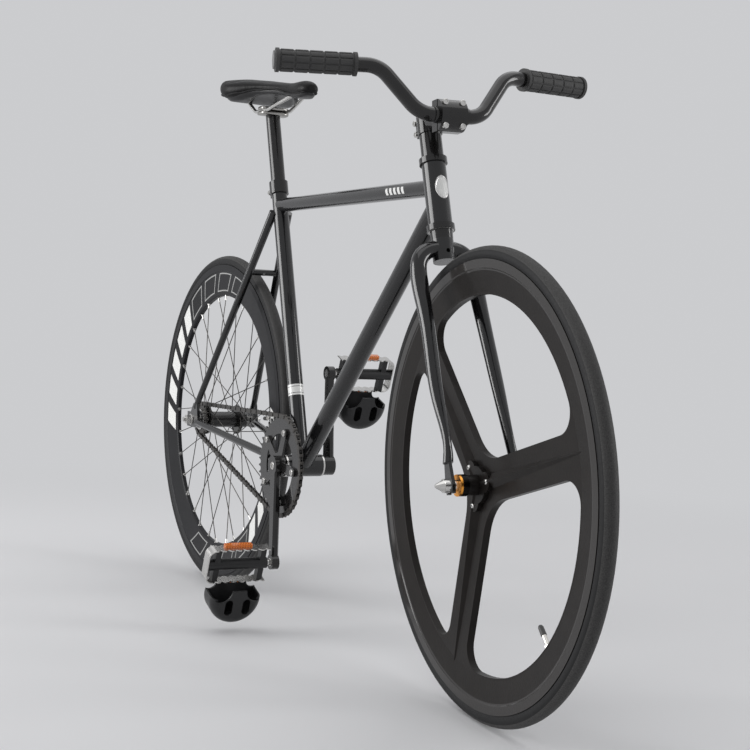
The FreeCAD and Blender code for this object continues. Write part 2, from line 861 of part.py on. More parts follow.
def rear_axle():
    """Solid axle with its cones, washers and hexagon nuts."""
    half = size("rear_spacing") / 2
    nut_face = half + size("track_end_thickness") + size("washer_thickness") + size("axle_nut_height")
    tip = nut_face + size("axle_end_length")
    shaft_length = derive("rear_axle_length", nut_face * 2)
    end_length = derive("rear_axle_end_length", tip * 2)
    shaft = rod("axle_diameter / 2", shaft_length, pose(beside(REAR, -nut_face), ACROSS))
    ends = rod("axle_end_diameter / 2", end_length, pose(beside(REAR, -tip), ACROSS))
    cones, nuts = [], []
    for sign in SIDES.values():
        inner = beside(REAR, sign * (half - size("cone_nut_length")))
        cones.append(rod("cone_nut_diameter / 2", "cone_nut_length", pose(inner, ACROSS * sign)))
        face = half + size("track_end_thickness")
        hole = "axle_diameter / 2 + seat_gap"
        washer_at = pose(beside(REAR, sign * face), ACROSS * sign)
        nuts.append(ring("washer_diameter / 2", hole, "washer_thickness", washer_at))
        nut_at = pose(beside(REAR, sign * (face + size("washer_thickness"))), ACROSS * sign)
        body = new_body(nut_at)
        across = size("axle_nut_diameter") / math.sqrt(3)
        turns = [corner * math.pi / 3 for corner in range(6)]
        corners = [(across * math.cos(turn), across * math.sin(turn)) for turn in turns]
        bore = circle(size("axle_diameter") / 2 + size("seat_gap"))
        pad(body, sketch_on(body, "XY_Plane", polygon(corners) + bore), "axle_nut_height")
        nuts.append(body)
    keep("rear_axle", fuse(shaft, ends, *cones))
    keep("rear_axle_nuts", group(*nuts))


def drive_point(pin):
    """A flat chain point, carried into the bike's own frame."""
    c, s = math.cos(DRIVE_TILT), math.sin(DRIVE_TILT)
    return Vector(BRACKET.x + pin.x * c - pin.y * s, 0, BRACKET.z + pin.x * s + pin.y * c)


def link_plate(start, end, y, thickness):
    """A waisted link plate between two pins."""
    radius = size("link_plate_height") / 2
    waist = size("link_waist") / 2
    along = (end - start).normalize()
    rise = along.cross(ACROSS)
    middle = (start + end) / 2
    low, high = beside(start, y), beside(end, y)
    corners = [low + rise * radius, low - along * radius, low - rise * radius]
    corners += [high - rise * radius, high + along * radius, high + rise * radius]
    waist_low = beside(middle, y) - rise * waist
    waist_high = beside(middle, y) + rise * waist
    edges = [
        Part.Arc(corners[0], corners[1], corners[2]).toShape(),
        Part.Arc(corners[2], waist_low, corners[3]).toShape(),
        Part.Arc(corners[3], corners[4], corners[5]).toShape(),
        Part.Arc(corners[5], waist_high, corners[0]).toShape(),
    ]
    return Part.Face(Part.Wire(edges)).extrude(ACROSS * thickness)


def chain():
    """Roller chain: inner links with rollers, and outer links with pins through them."""
    links = []
    plate = size("link_plate_thickness")
    roller = size("roller_diameter") / 2
    pin = size("chain_pin_diameter") / 2
    half = size("roller_width") / 2
    side_gap = size("seat_gap")
    points = [drive_point(flat) for flat in CHAIN_PINS]
    line = -size("chain_line")
    for index, start in enumerate(points):
        end = points[(index + 1) % len(points)]
        inner = index % 2 == 0
        offset = half if inner else half + plate + side_gap
        solid = link_plate(start, end, line + offset, plate)
        solid = solid.fuse(link_plate(start, end, line - offset - plate, plate))
        reach = offset + plate
        for spot in (start, end):
            foot = beside(spot, line - (half if inner else reach))
            width = (half if inner else reach) * 2
            solid = solid.fuse(Part.makeCylinder(roller if inner else pin, width, foot, ACROSS))
        if inner:
            for spot in (start, end):
                foot = beside(spot, line - reach)
                hole = Part.makeCylinder(pin + size("running_gap"), reach * 2, foot, ACROSS)
                solid = solid.cut(hole)
        links.append(solid.Solids[0])
    keep("chain", feature(Part.Compound(links), "chain"))


def blade(sign, wall):
    """One fork blade: an arch out of the crown and a straight taper, made thinner by a wall."""
    arch = size("blade_arch_radius")
    spread = size("blade_spread")
    arch_high = size("axle_to_crown") - size("blade_arch_drop")
    foot_side = (size("front_spacing") + size("fork_end_thickness")) / 2
    thick, thin = size("blade_top_diameter") / 2, size("blade_bottom_diameter") / 2
    stations = [(on_head(arch_high), ACROSS * sign, thick)]
    for turn in (0, math.pi / 6, math.pi / 3, math.pi / 2):
        side = sign * (spread - arch + arch * math.sin(turn))
        height = arch_high - arch + arch * math.cos(turn)
        along = ACROSS * sign * math.cos(turn) - HEAD_UP * math.sin(turn)
        stations.append((on_head(height, 0, side), along, thick))
    top = on_head(arch_high - arch, 0, sign * spread)
    leg = on_head(size("blade_bottom_rise"), size("fork_rake"), sign * foot_side) - top
    last = 1 - (size("blade_plug") / leg.Length if wall else 0)
    for share in (0.2, 0.45, 0.7, last):
        stations.append((top + leg * share, leg, thick + (thin - thick) * share))
    rings = []
    for point, along, radius in stations:
        edge = Part.makeCircle(radius - wall)
        edge.Placement = pose(point, along, HEAD_AHEAD)
        rings.append(Part.Wire(edge))
    return feature(Part.makeLoft(rings, True, False), "blade")


def fork():
    """Steerer with its crown, two blades and the plates that hold the axle."""
    steerer_low = size("axle_to_crown")
    length = derive("steerer_length", STEM_HIGH - 2 - steerer_low)
    steerer_at = pose(on_head(steerer_low), HEAD_UP)
    steerer = rod("steerer_diameter / 2", length, steerer_at)
    bore = rod("steerer_diameter / 2 - steerer_wall", length, steerer_at)
    crown_at = pose(on_head(steerer_low - size("crown_height")), HEAD_UP)
    crown = rod("crown_diameter / 2", "crown_height", crown_at)
    hole_at = pose(
        on_head(steerer_low - size("crown_height") * 0.62, -size("crown_diameter")), HEAD_AHEAD
    )
    brake_hole = rod("brake_hole_diameter / 2", "crown_diameter * 2", hole_at)
    keep("fork_crown", cut(fuse(cut(steerer, bore), crown), brake_hole), STEER)

    blades, plates = [], []
    slot = size("front_axle_diameter") / 2 + size("running_gap")
    wide = size("fork_end_width") / 2
    for sign in SIDES.values():
        skin = blade(sign, 0)
        blades.append(cut(skin, blade(sign, size("blade_wall")), crown))
        middle = (size("front_spacing") + size("fork_end_thickness")) / 2 * sign
        body = new_body(pose(beside(FRONT, middle), ACROSS, HEAD_UP))
        rise = size("blade_bottom_rise") + 4
        neck = size("blade_bottom_diameter") / 2 - 1
        outline = [
            (rise, -neck), (rise, neck), (wide, wide * 0.8), (0, wide), (-wide, wide * 0.8),
            (-wide, -wide * 0.8), (0, -wide), (wide, -wide * 0.8),
        ]
        pad(body, sketch_on(body, "XY_Plane", polygon(outline)), "fork_end_thickness", True)
        notch = [(-wide - 1, -slot), (slot, -slot), (slot, slot), (-wide - 1, slot)]
        pocket(body, sketch_on(body, "XY_Plane", polygon(notch)), "fork_end_thickness * 2")
        plates.append(cut(body, skin))
    keep("fork_blades", group(*blades, *plates), STEER)


def headset_stack():
    """What stacks on the steerer: crown race, bearings, spacers and the cap."""
    hole = "steerer_diameter / 2 + seat_gap"
    race_at = pose(on_head(size("axle_to_crown")), HEAD_UP)
    race = cut(
        taper("crown_diameter / 2", "crown_race_diameter / 2", "crown_race_height", race_at),
        rod(hole, "crown_race_height", race_at),
    )
    pieces = [race]
    for index in range(count("spacer_count")):
        spacer_at = pose(on_head(STACK_LOW + index * size("spacer_height")), HEAD_UP)
        pieces.append(ring("spacer_diameter / 2", hole, "spacer_height", spacer_at))
    cap_at = pose(on_head(STEM_HIGH), HEAD_UP)
    cap_edge = "steerer_diameter / 2 + stem_wall"
    pieces.append(taper(cap_edge, "steerer_diameter / 2", "top_cap_height", cap_at))
    keep("headset_stack", group(*pieces), STEER)

    bearings = []
    for low in (LOWER_CUP - size("swing_gap"), STACK_LOW - size("headset_bearing_height")):
        bearing_at = pose(on_head(low), HEAD_UP)
        bearings.append(ring("headset_bearing_diameter / 2", hole, "headset_bearing_height", bearing_at))
    keep("headset_bearings", group(*bearings), STEER)


def stem():
    """Stem clamped on the steerer, faceplate, and the bolts of both clamps."""
    middle = (STEM_LOW + STEM_HIGH) / 2
    grip_height = middle - size("stem_drop")
    bar_centre = on_head(grip_height, size("stem_reach"))
    start = on_head(middle)
    ahead = (bar_centre - start).normalize()
    rise = ahead.cross(-ACROSS)
    length = derive("stem_length", (bar_centre - start).Length)
    sleeve_at = pose(on_head(STEM_LOW), HEAD_UP)
    sleeve = rod("steerer_diameter / 2 + stem_wall", "stem_height", sleeve_at)
    hole = rod("steerer_diameter / 2 + seat_gap", "stem_height", sleeve_at)
    arm = rod("stem_arm_diameter / 2", length, pose(start, ahead))
    back_face = bar_centre - ahead * (size("stem_clamp_depth") + size("faceplate_gap") / 2)
    jaw = block("stem_clamp_height", "stem_clamp_width", "stem_clamp_depth", pose(back_face, ahead, rise))
    bar_from = beside(bar_centre, -size("stem_clamp_width"))
    bar_hole = rod("bar_clamp_diameter / 2 + seat_gap", "stem_clamp_width * 2", pose(bar_from, ACROSS))
    front_face = bar_centre + ahead * size("faceplate_gap") / 2
    clear = block(
        "stem_clamp_height * 2", "stem_clamp_width * 2", "stem_clamp_height",
        pose(bar_centre - ahead * size("faceplate_gap") / 2, ahead, rise),
    )
    ear_behind = -size("steerer_diameter") / 2 - size("stem_wall")
    ear_at = pose(on_head(STEM_LOW + size("stem_height") * 0.1, ear_behind), HEAD_UP, HEAD_AHEAD)
    ear = block("stem_wall * 3", "stem_wall * 4.4", "stem_height * 0.8", ear_at)
    slit = block(
        "stem_arm_diameter * 2", "stem_slit", "stem_height * 2",
        pose(on_head(STEM_LOW - size("stem_height") / 2, -size("stem_arm_diameter")), HEAD_UP, HEAD_AHEAD),
    )
    face = block("stem_clamp_height", "stem_clamp_width", "faceplate_depth", pose(front_face, ahead, rise))
    round_front = rod(
        "stem_clamp_height * 0.52", "stem_clamp_width",
        pose(beside(bar_centre - ahead * 6, -size("stem_clamp_width") / 2), ACROSS),
    )
    bolts, bolt_holes = [], []
    for side in (-1, 1):
        for level in (-1, 1):
            offset = rise * level * size("faceplate_bolt_rise")
            spot = bar_centre + ACROSS * side * size("faceplate_bolt_side") + offset
            seat = spot + ahead * size("faceplate_depth") * 0.62
            deep = spot - ahead * size("stem_clamp_depth") * 0.9
            shank_length = "faceplate_depth * 0.62 + stem_clamp_depth * 0.9"
            shank = rod("stem_bolt_diameter / 2", shank_length, pose(deep, ahead))
            head = rod("stem_bolt_head / 2", "stem_bolt_head_height", pose(seat, ahead))
            bolts.append(fuse(shank, head))
            bolt_holes.append(rod("stem_bolt_diameter / 2 + seat_gap", shank_length, pose(deep, ahead)))
            bolt_holes.append(rod("stem_bolt_head / 2 + seat_gap", "faceplate_depth", pose(seat, ahead)))
    ear_half = size("stem_wall") * 2.2
    for level in (-1, 1):
        height = middle + level * size("pinch_bolt_spread") / 2
        spot = on_head(height, -size("steerer_diameter") / 2 - size("stem_wall") * 1.7)
        seat = beside(spot, -ear_half)
        shank = rod("stem_bolt_diameter / 2", "stem_wall * 4", pose(seat, ACROSS))
        head = rod("stem_bolt_head / 2", "stem_bolt_head_height", pose(seat, -ACROSS))
        bolts.append(fuse(shank, head))
        bolt_holes.append(rod("stem_bolt_diameter / 2 + seat_gap", "stem_wall * 4", pose(seat, ACROSS)))
    holes = group(*bolt_holes)
    keep("stem", cut(fuse(sleeve, arm, jaw, ear), hole, clear, bar_hole, slit, holes), STEER)
    keep("stem_faceplate", cut(common(face, round_front), bar_hole, holes), STEER)
    keep("stem_bolts", group(*bolts), STEER)
    return bar_centre


def handlebar(bar_centre):
    """Riser bar with a thicker middle, two rubber grips and the end plugs."""
    low, high = size("bar_bend_low"), size("bar_bend_high")
    sweep = math.tan(math.radians(size("bar_sweep_grip")))
    back = size("bar_sweep_low")
    end = size("bar_half_width")

    def bar_point(side, y, behind, rise):
        return bar_centre + Vector(-behind, side * y, rise)

    def half_points(side):
        rise = size("bar_rise")
        tip = bar_point(side, end, back + (end - high) * sweep, rise)
        return [bar_point(side, low, 0, 0), bar_point(side, high, back, rise), tip]

    right, left = half_points(-1), half_points(1)
    path = route(right[::-1] + left, size("bar_bend_radius"))
    radius = size("bar_diameter") / 2
    swell = Part.makeCylinder(
        size("bar_clamp_diameter") / 2, size("bar_clamp_length"),
        bar_centre - ACROSS * size("bar_clamp_length") / 2, ACROSS,
    )
    tube = pipe(path, radius).fuse(swell).cut(pipe(path, radius - size("bar_wall")))
    keep("handlebar", feature(tube, "handlebar"), STEER)

    grips, plugs = [], []
    hole = "bar_diameter / 2 + seat_gap"
    flange = "grip_flange_diameter / 2"
    for points in (right, left):
        inward = (points[1] - points[2]).normalize()
        tip = points[2]
        inner = tip + inward * (size("grip_length") - size("grip_flange_width"))
        sleeve = rod("grip_diameter / 2", "grip_length", pose(tip, inward))
        outer_collar = rod(flange, "grip_flange_width", pose(tip, inward))
        inner_collar = rod(flange, "grip_flange_width", pose(inner, inward))
        bore = rod(hole, "grip_length", pose(tip, inward))
        grips.append(cut(fuse(sleeve, outer_collar, inner_collar), bore))
        disc = rod("grip_diameter / 2 - 2", "plug_thickness", pose(tip, -inward))
        spigot = rod("bar_diameter / 2 - bar_wall - seat_gap", "plug_depth", pose(tip, inward))
        plugs.append(fuse(disc, spigot))
    keep("grips", group(*grips), STEER)
    keep("bar_end_plugs", group(*plugs), STEER)


def front_axle():
    """Solid front axle with its cones, and domed track nuts outside the fork."""
    half = size("front_spacing") / 2
    length = derive("front_axle_length", size("front_axle_tip") * 2)
    shaft = rod("front_axle_diameter / 2", length, pose(beside(FRONT, -size("front_axle_tip")), ACROSS))
    cap_face = size("tri_barrel_half_length") + size("hub_cap_length") + size("swing_gap")
    cone_length = derive("front_cone_length", half - cap_face)
    cones, nuts = [], []
    for sign in SIDES.values():
        outward = ACROSS * sign
        cone_at = pose(beside(FRONT, sign * cap_face), outward)
        cones.append(rod("cone_nut_diameter / 2", cone_length, cone_at))
        face = half + size("fork_end_thickness")
        base = rod("front_nut_diameter / 2", "front_nut_base", pose(beside(FRONT, sign * face), outward))
        shoulder = beside(FRONT, sign * (face + size("front_nut_base")))
        nose_at = pose(shoulder, outward)
        nose = taper("front_nut_diameter / 2 - 1.5", "front_nut_tip / 2", "front_nut_cone", nose_at)
        depth = f"front_axle_tip - {face} + seat_gap"
        hole = rod("front_axle_diameter / 2 + seat_gap", depth, pose(beside(FRONT, sign * face), outward))
        nuts.append(cut(fuse(base, nose), hole))
    keep("front_axle", fuse(shaft, *cones), STEER)
    keep("front_axle_nuts", group(*nuts), STEER)


def tyre(name, tube_name, centre, valve_tip, valve_angle, place):
    """Tyre with its mouth seated between the rim's flanges, and the inner tube with a valve."""
    hub_at = pose(centre, ACROSS)
    middle = "tyre_radius - tyre_section / 2"
    flange = "rim_flange_radius + swing_gap"
    wide = size("tyre_section") * 2

    def band(outer, inner, width):
        at = pose(centre - ACROSS * width / 2, ACROSS)
        width_name = derive(f"{name}_band_{band.made}", width)
        band.made += 1
        return ring(outer, inner, width_name, at)

    band.made = 0
    casing = hoop(middle, "tyre_section / 2", hub_at)
    neck_width = size("rim_width") - size("rim_flange_wall") * 2 - size("seat_gap") * 2
    neck = band("rim_flange_radius + 3", "rim_flange_radius - tyre_neck_depth", neck_width)
    crown = cut(casing, band(flange, "rim_flange_radius - 40", wide))
    hollow = hoop(middle, "tyre_section / 2 - tyre_wall", hub_at)
    mouth = band(middle, "rim_flange_radius - 40", size("tyre_mouth"))
    keep(name, cut(fuse(crown, neck), hollow, mouth), place)

    skin = "tyre_section / 2 - tyre_wall - tube_gap"
    bag = cut(hoop(middle, skin, hub_at), hoop(middle, f"{skin} - tube_skin", hub_at))
    outward = Vector(math.cos(valve_angle), 0, math.sin(valve_angle))
    casing_foot = size("tyre_radius") - size("tyre_section") + size("tyre_wall")
    top = casing_foot + size("tube_gap") + size("tube_skin") / 2
    stem_length = derive(f"{name}_valve_reach", top - valve_tip)
    valve = rod("valve_diameter / 2", stem_length, pose(centre + outward * valve_tip, outward))
    keep(tube_name, fuse(bag, valve), place)


def valve_hole(centre, angle):
    """The hole through a rim for its valve."""
    outward = Vector(math.cos(angle), 0, math.sin(angle))
    start = centre + outward * size("tri_hub_radius") * 3
    return rod("valve_diameter / 2 + valve_hole_gap", "tyre_radius", pose(start, outward))


def rim_outline(inner_radius, nose_width, web_width):
    """Radius and width of a rim with a tyre channel, brake tracks and a body below them."""
    wide = size("rim_width") / 2
    channel = wide - size("rim_flange_wall")
    top = size("rim_flange_radius")
    floor = top - size("rim_channel_depth")
    track = top - size("rim_track")
    half = [
        (floor, channel),
        (top, channel),
        (top, wide),
        (track, wide),
        (track - 1.5, web_width),
        (inner_radius + 3, nose_width),
        (inner_radius, nose_width - 1.5),
    ]
    return half + [(r, -y) for r, y in reversed(half)]


def front_wheel(valve_angle):
    """One casting: rim, three ribbed spokes and a lobed hub, with bearings and amber caps."""
    web = size("tri_web_thickness") / 2
    hole_radius = size("tri_hole_radius")
    wheel_at = Placement(FRONT, Rotation())
    rim = new_body(wheel_at)
    wide = size("rim_width") / 2
    turned(rim, polygon(rim_outline(hole_radius, web, wide - 1.2)))

    disc_at = pose(beside(FRONT, -web), ACROSS)
    plate = ring("tri_hole_radius + 6", "tri_barrel_radius", "tri_web_thickness", disc_at)
    first = math.radians(size("tri_spoke_first_angle"))
    step = 2 * math.pi / count("tri_spoke_count")
    cutters, ridges, lobes = [], [], []
    half_width = size("tri_spoke_width") / 2
    for index in range(count("tri_spoke_count")):
        angle = first + index * step
        cutters.append(feature(spoke_hole(angle, angle + step, half_width, hole_radius), "spoke_hole"))
        ridges.append(feature(spoke_ridge(angle, web), "spoke_ridge"))
        lobe = FRONT + Vector(math.cos(angle), 0, math.sin(angle)) * size("tri_hub_radius") * 0.75
        lobe_at = pose(beside(lobe, -size("tri_hub_half_length")), ACROSS)
        lobes.append(rod("tri_hub_radius * 0.42", "tri_hub_half_length * 2", lobe_at))
    hub_at = pose(beside(FRONT, -size("tri_hub_half_length")), ACROSS)
    hub = rod("tri_hub_radius * 0.78", "tri_hub_half_length * 2", hub_at)
    barrel_from = beside(FRONT, -size("tri_barrel_half_length"))
    barrel = rod("tri_barrel_radius", "tri_barrel_half_length * 2", pose(barrel_from, ACROSS))
    bore = rod("front_axle_diameter / 2 + 2", "tri_barrel_half_length * 2", pose(barrel_from, ACROSS))
    tools = [bore, valve_hole(FRONT, valve_angle)]
    bearings, caps = [], []
    for sign in SIDES.values():
        end = beside(FRONT, sign * size("tri_barrel_half_length"))
        seat_at = pose(end, ACROSS * -sign)
        tools.append(rod("hub_bearing_radius + seat_gap", "hub_bearing_width", seat_at))
        hole = "front_axle_diameter / 2 + running_gap"
        bearings.append(ring("hub_bearing_radius", hole, "hub_bearing_width", seat_at))
        cap_hole = "cone_nut_diameter / 2 + swing_gap"
        caps.append(ring("hub_cap_radius", cap_hole, "hub_cap_length", pose(end, ACROSS * sign)))
    casting = cut(fuse(rim, cut(plate, *cutters), *ridges, *lobes, hub, barrel), *tools)
    keep("front_wheel", casting, STEER)
    keep("front_hub_bearings", group(*bearings), STEER)
    keep("front_hub_caps", group(*caps), STEER)


def spoke_hole(start, end, half_width, radius):
    """A prism for the gap between two spokes: straight sides, round rim side, round corners."""
    depth = size("tri_hub_radius") * 4

    def spot(along, aside, angle):
        c, s = math.cos(angle), math.sin(angle)
        return Vector(along * c - aside * s, -depth / 2, along * s + aside * c)

    reach = math.sqrt(radius ** 2 - half_width ** 2)
    rim_start = spot(reach, half_width, start)
    rim_end = spot(reach, -half_width, end)
    middle = (start + end) / 2
    rim_middle = Vector(radius * math.cos(middle), -depth / 2, radius * math.sin(middle))
    corner_reach = half_width / math.sin((end - start) / 2)
    corner = Vector(corner_reach * math.cos(middle), -depth / 2, corner_reach * math.sin(middle))
    edges = [
        Part.LineSegment(corner, rim_start).toShape(),
        Part.Arc(rim_start, rim_middle, rim_end).toShape(),
        Part.LineSegment(rim_end, corner).toShape(),
    ]
    prism = Part.Face(Part.Wire(edges)).extrude(ACROSS * depth)

    def upright(low, high):
        """The prism's edges across the wheel, between two distances from the axle."""
        found = []
        for edge in prism.Edges:
            foot = edge.Vertexes[0]
            across = abs(edge.tangentAt(edge.FirstParameter).y) > 0.99
            if across and low < math.hypot(foot.X, foot.Z) < high:
                found.append(edge)
        return found

    prism = prism.makeFillet(size("tri_hole_rim_fillet"), upright(radius / 2, radius + 1))
    prism = prism.makeFillet(size("tri_hole_hub_fillet"), upright(0, corner_reach + 1))
    prism.translate(FRONT)
    return prism


def spoke_ridge(angle, web):
    """A raised rib on both faces of a spoke, wide and high at the hub, fine at the rim."""
    c, s = math.cos(angle), math.sin(angle)

    def section(reach, wide, rise):
        corners = []
        for aside, y in ((-wide, 0), (0, -rise), (wide, 0), (0, rise)):
            corners.append(FRONT + Vector(reach * c - aside * s, y, reach * s + aside * c))
        return Part.makePolygon(corners + corners[:1])

    near = size("tri_barrel_radius")
    far = size("tri_ridge_end_radius")
    wide = size("tri_ridge_width")
    start = section(near, wide, web + size("tri_ridge_rise") * 2)
    end = section(far, wide * 0.55, web + 0.6)
    return Part.makeLoft([start, end], True, True)


def rear_wheel(valve_angle):
    """Deep rim, flanged hub, crossed spokes with nipples, cog and lockring."""
    rim = new_body(Placement(REAR, Rotation()))
    nose = size("rear_rim_nose_width")
    wall = size("rear_rim_wall")
    inner = size("rear_rim_inner_radius")
    web = size("rim_width") / 2 - 1
    outline = polygon(rim_outline(inner, nose, web))
    floor = size("rim_flange_radius") - size("rim_channel_depth") - wall
    foot = inner + wall + 3
    hollow = [(floor, web - wall), (foot, nose - wall), (foot, wall - nose), (floor, wall - web)]
    turned(rim, outline + polygon(hollow))
    keep("rear_rim", cut(rim, valve_hole(REAR, valve_angle)))

    hub = new_body(Placement(REAR, Rotation()))
    barrel = size("rear_barrel_radius")
    flange = size("flange_radius")
    spread = size("flange_spread")
    thick = size("flange_thickness") / 2
    end = size("rear_hub_end")
    seat = size("cog_seat_radius")
    bore = size("axle_diameter") / 2 + 2
    bearing = size("rear_bearing_radius") + size("seat_gap")
    pocket_start = end - size("rear_bearing_width")
    outer, inner = spread + thick, spread - thick
    profile = [
        (bore, pocket_start), (bearing, pocket_start), (bearing, end), (barrel, end),
        (barrel, outer), (flange, outer), (flange, inner), (barrel, inner),
        (barrel, -inner), (flange, -inner), (flange, -outer), (seat, -outer),
        (seat, -end), (bearing, -end), (bearing, -pocket_start), (bore, -pocket_start),
    ]
    turned(hub, polygon(profile))
    spokes, nipples, holes = lacing(flange)
    keep("rear_hub", cut(hub, feature(holes, "spoke_holes")))
    keep("rear_spokes", feature(spokes, "spokes"))
    keep("rear_nipples", feature(nipples, "nipples"))

    bearings = []
    for sign in SIDES.values():
        at = pose(beside(REAR, sign * end), ACROSS * -sign)
        hole = "axle_diameter / 2 + running_gap"
        bearings.append(ring("rear_bearing_radius", hole, "rear_bearing_width", at))
    keep("rear_hub_bearings", group(*bearings))
    phase = math.atan2(*reversed(cog_pin()))
    cog = sprocket(REAR, "cog_teeth", COG_RADIUS, phase, "cog_thickness")
    hole_at = pose(beside(REAR, -size("chain_line") * 2), ACROSS)
    seat_hole = "cog_seat_radius + seat_gap"
    keep("rear_cog", cut(cog, rod(seat_hole, "chain_line * 2", hole_at)))
    lock_face = -size("chain_line") - size("cog_thickness") / 2
    lock_at = pose(beside(REAR, lock_face), -ACROSS)
    keep("cog_lockring", ring("lockring_radius", seat_hole, "lockring_thickness", lock_at))


def cog_pin():
    """Where the first pin on the cog lies, seen from the rear axle."""
    for flat in CHAIN_PINS:
        point = drive_point(flat) - REAR
        if abs(point.Length - COG_RADIUS) < 1e-3 and point.x < 0:
            return point.x, point.z
    raise ValueError("no chain pin lies on the cog")


def lacing(flange):
    """Crossed spokes from the hub flanges to the rim, with elbows, nipples and flange holes."""
    per_side = count("spoke_count") // 2
    gap = 2 * math.pi / per_side
    crossing = count("spoke_crosses") * 2 * gap / 2
    radius = size("spoke_diameter") / 2
    hub_radius = size("spoke_hole_radius")
    rim_radius = size("rear_rim_inner_radius") - size("swing_gap")
    thick = size("flange_thickness")
    spokes, nipples, holes = [], [], []

    def around(angle, reach, y):
        return REAR + Vector(math.cos(angle) * reach, y, math.sin(angle) * reach)

    for sign in SIDES.values():
        for index in range(per_side):
            outside = index % 2 == 1
            turn = 1 if outside else -1
            angle = index * gap + (gap / 2 if sign > 0 else 0)
            flange_y = sign * size("flange_spread")
            lean = size("spoke_outer_lean") if outside else -size("spoke_inner_lean")
            y = flange_y + sign * lean
            hub_spot = around(angle, hub_radius, y)
            rim_spot = around(angle + turn * crossing, rim_radius, sign * 1.5)
            along = (rim_spot - hub_spot).normalize()
            nipple_foot = rim_spot - along * size("nipple_length")
            wire = Part.makeCylinder(radius, (nipple_foot - hub_spot).Length, hub_spot, along)
            through = flange_y - turn * sign * size("spoke_inner_lean")
            elbow_length = abs(through - y)
            inward = ACROSS * (1 if through > y else -1)
            elbow = Part.makeCylinder(radius, elbow_length, hub_spot, inward)
            head = Part.makeCylinder(radius * 2, radius, hub_spot + inward * elbow_length, inward)
            spokes.append(wire.fuse([elbow, head, Part.makeSphere(radius, hub_spot)]).Solids[0])
            nipple_radius = size("nipple_diameter") / 2
            nipples.append(Part.makeCylinder(nipple_radius, size("nipple_length"), nipple_foot, along))
            hole_foot = beside(hub_spot, flange_y - thick)
            holes.append(Part.makeCylinder(radius + size("running_gap"), thick * 2, hole_foot, ACROSS))
    trim = Part.makeCylinder(rim_radius, flange * 4, REAR - ACROSS * flange * 2, ACROSS)
    nipples = [nipple.common(trim).Solids[0] for nipple in nipples]
    return Part.Compound(spokes), Part.Compound(nipples), Part.Compound(holes)


def sprocket(centre, teeth_name, pitch_radius, phase, thickness):
    """A toothed disc on the chain line, one valley turned to a given angle."""
    teeth = count(teeth_name)
    valley = size("roller_diameter") / 2 + size("tooth_clearance")
    tip = pitch_radius + size("tooth_rise")
    place = Placement(beside(centre, -size("chain_line")), Rotation(Vector(1, 0, 0), 90))
    place = place.multiply(Placement(Vector(), Rotation(Vector(0, 0, 1), math.degrees(phase))))
    body = new_body(place)
    pad(body, sketch_on(body, "XY_Plane", circle(tip)), thickness, True)
    open_angle = math.radians(118)
    foot_x = pitch_radius + valley * math.cos(open_angle)
    foot_y = valley * math.sin(open_angle)
    mouth = tip * math.sin(math.pi / teeth) - size("tooth_tip") / 2
    corners = [
        Vector(foot_x, foot_y, 0),
        Vector(tip + 1, mouth, 0),
        Vector(tip + 1, -mouth, 0),
        Vector(foot_x, -foot_y, 0),
    ]
    edges = [Part.LineSegment(a, b) for a, b in zip(corners, corners[1:])]
    edges.append(Part.Arc(corners[3], Vector(pitch_radius - valley, 0, 0), corners[0]))
    gap = pocket(body, sketch_on(body, "XY_Plane", edges), f"{thickness} * 2")
    polar(body, gap, teeth_name)
    return body


def crank_direction(sign):
    """Where a crank points at rest."""
    angle = math.radians(size("crank_rest_angle")) + (math.pi if sign > 0 else 0)
    return Vector(math.cos(angle), 0, math.sin(angle))


def crank_arm(sign):
    """A forged arm that leans outwards from its boss to its pedal eye."""
    along = crank_direction(sign)
    boss_inner, boss_outer = size("crank_boss_inner"), size("crank_boss_outer")
    eye_inner, eye_outer = size("crank_eye_inner"), size("crank_eye_outer")
    body = new_body(pose(BRACKET, along, ACROSS * sign))
    half = size("crank_arm_thickness") / 2

    def rounded(middle, width, bevel):
        low, high = middle - half, middle + half
        side = width / 2
        return polygon([
            (low, bevel - side), (low + bevel, -side), (high - bevel, -side), (high, bevel - side),
            (high, side - bevel), (high - bevel, side), (low + bevel, side), (low, side - bevel),
        ])

    start_middle = boss_outer - half - 1
    end_middle = (eye_inner + eye_outer) / 2
    boss_end = rounded(start_middle, size("crank_arm_width_boss"), 3)
    eye_end = rounded(end_middle, size("crank_arm_width_eye"), 3)
    start = sketch_on(body, "XY_Plane", boss_end)
    end = sketch_on(body, "XY_Plane", eye_end, size("crank_length"))
    loft = body.newObject("PartDesign::AdditiveLoft", "arm")
    loft.Profile = start
    loft.Sections = [end]
    loft.Ruled = True
    boss_at = pose(beside(BRACKET, sign * boss_inner), ACROSS * sign)
    boss = rod("crank_boss_radius", "crank_boss_outer - crank_boss_inner", boss_at)
    eye_spot = BRACKET + along * size("crank_length")
    eye_at = pose(beside(eye_spot, sign * eye_inner), ACROSS * sign)
    eye = rod("crank_eye_radius", "crank_eye_outer - crank_eye_inner", eye_at)
    eye_hole = rod(
        "pedal_spindle_thread / 2 + seat_gap", "crank_eye_outer",
        pose(beside(eye_spot, sign * eye_inner / 2), ACROSS * sign),
    )
    square = block(
        "spindle_square + seat_gap * 2", "spindle_square + seat_gap * 2", "spindle_tip",
        pose(beside(BRACKET, 0), ACROSS * sign, along),
    )
    bolt_hole = rod(
        "crank_bolt_diameter / 2 + seat_gap", "crank_boss_outer",
        pose(beside(BRACKET, sign * size("spindle_tip")), ACROSS * sign),
    )
    return [body, boss, eye], [eye_hole, square, bolt_hole], eye_spot


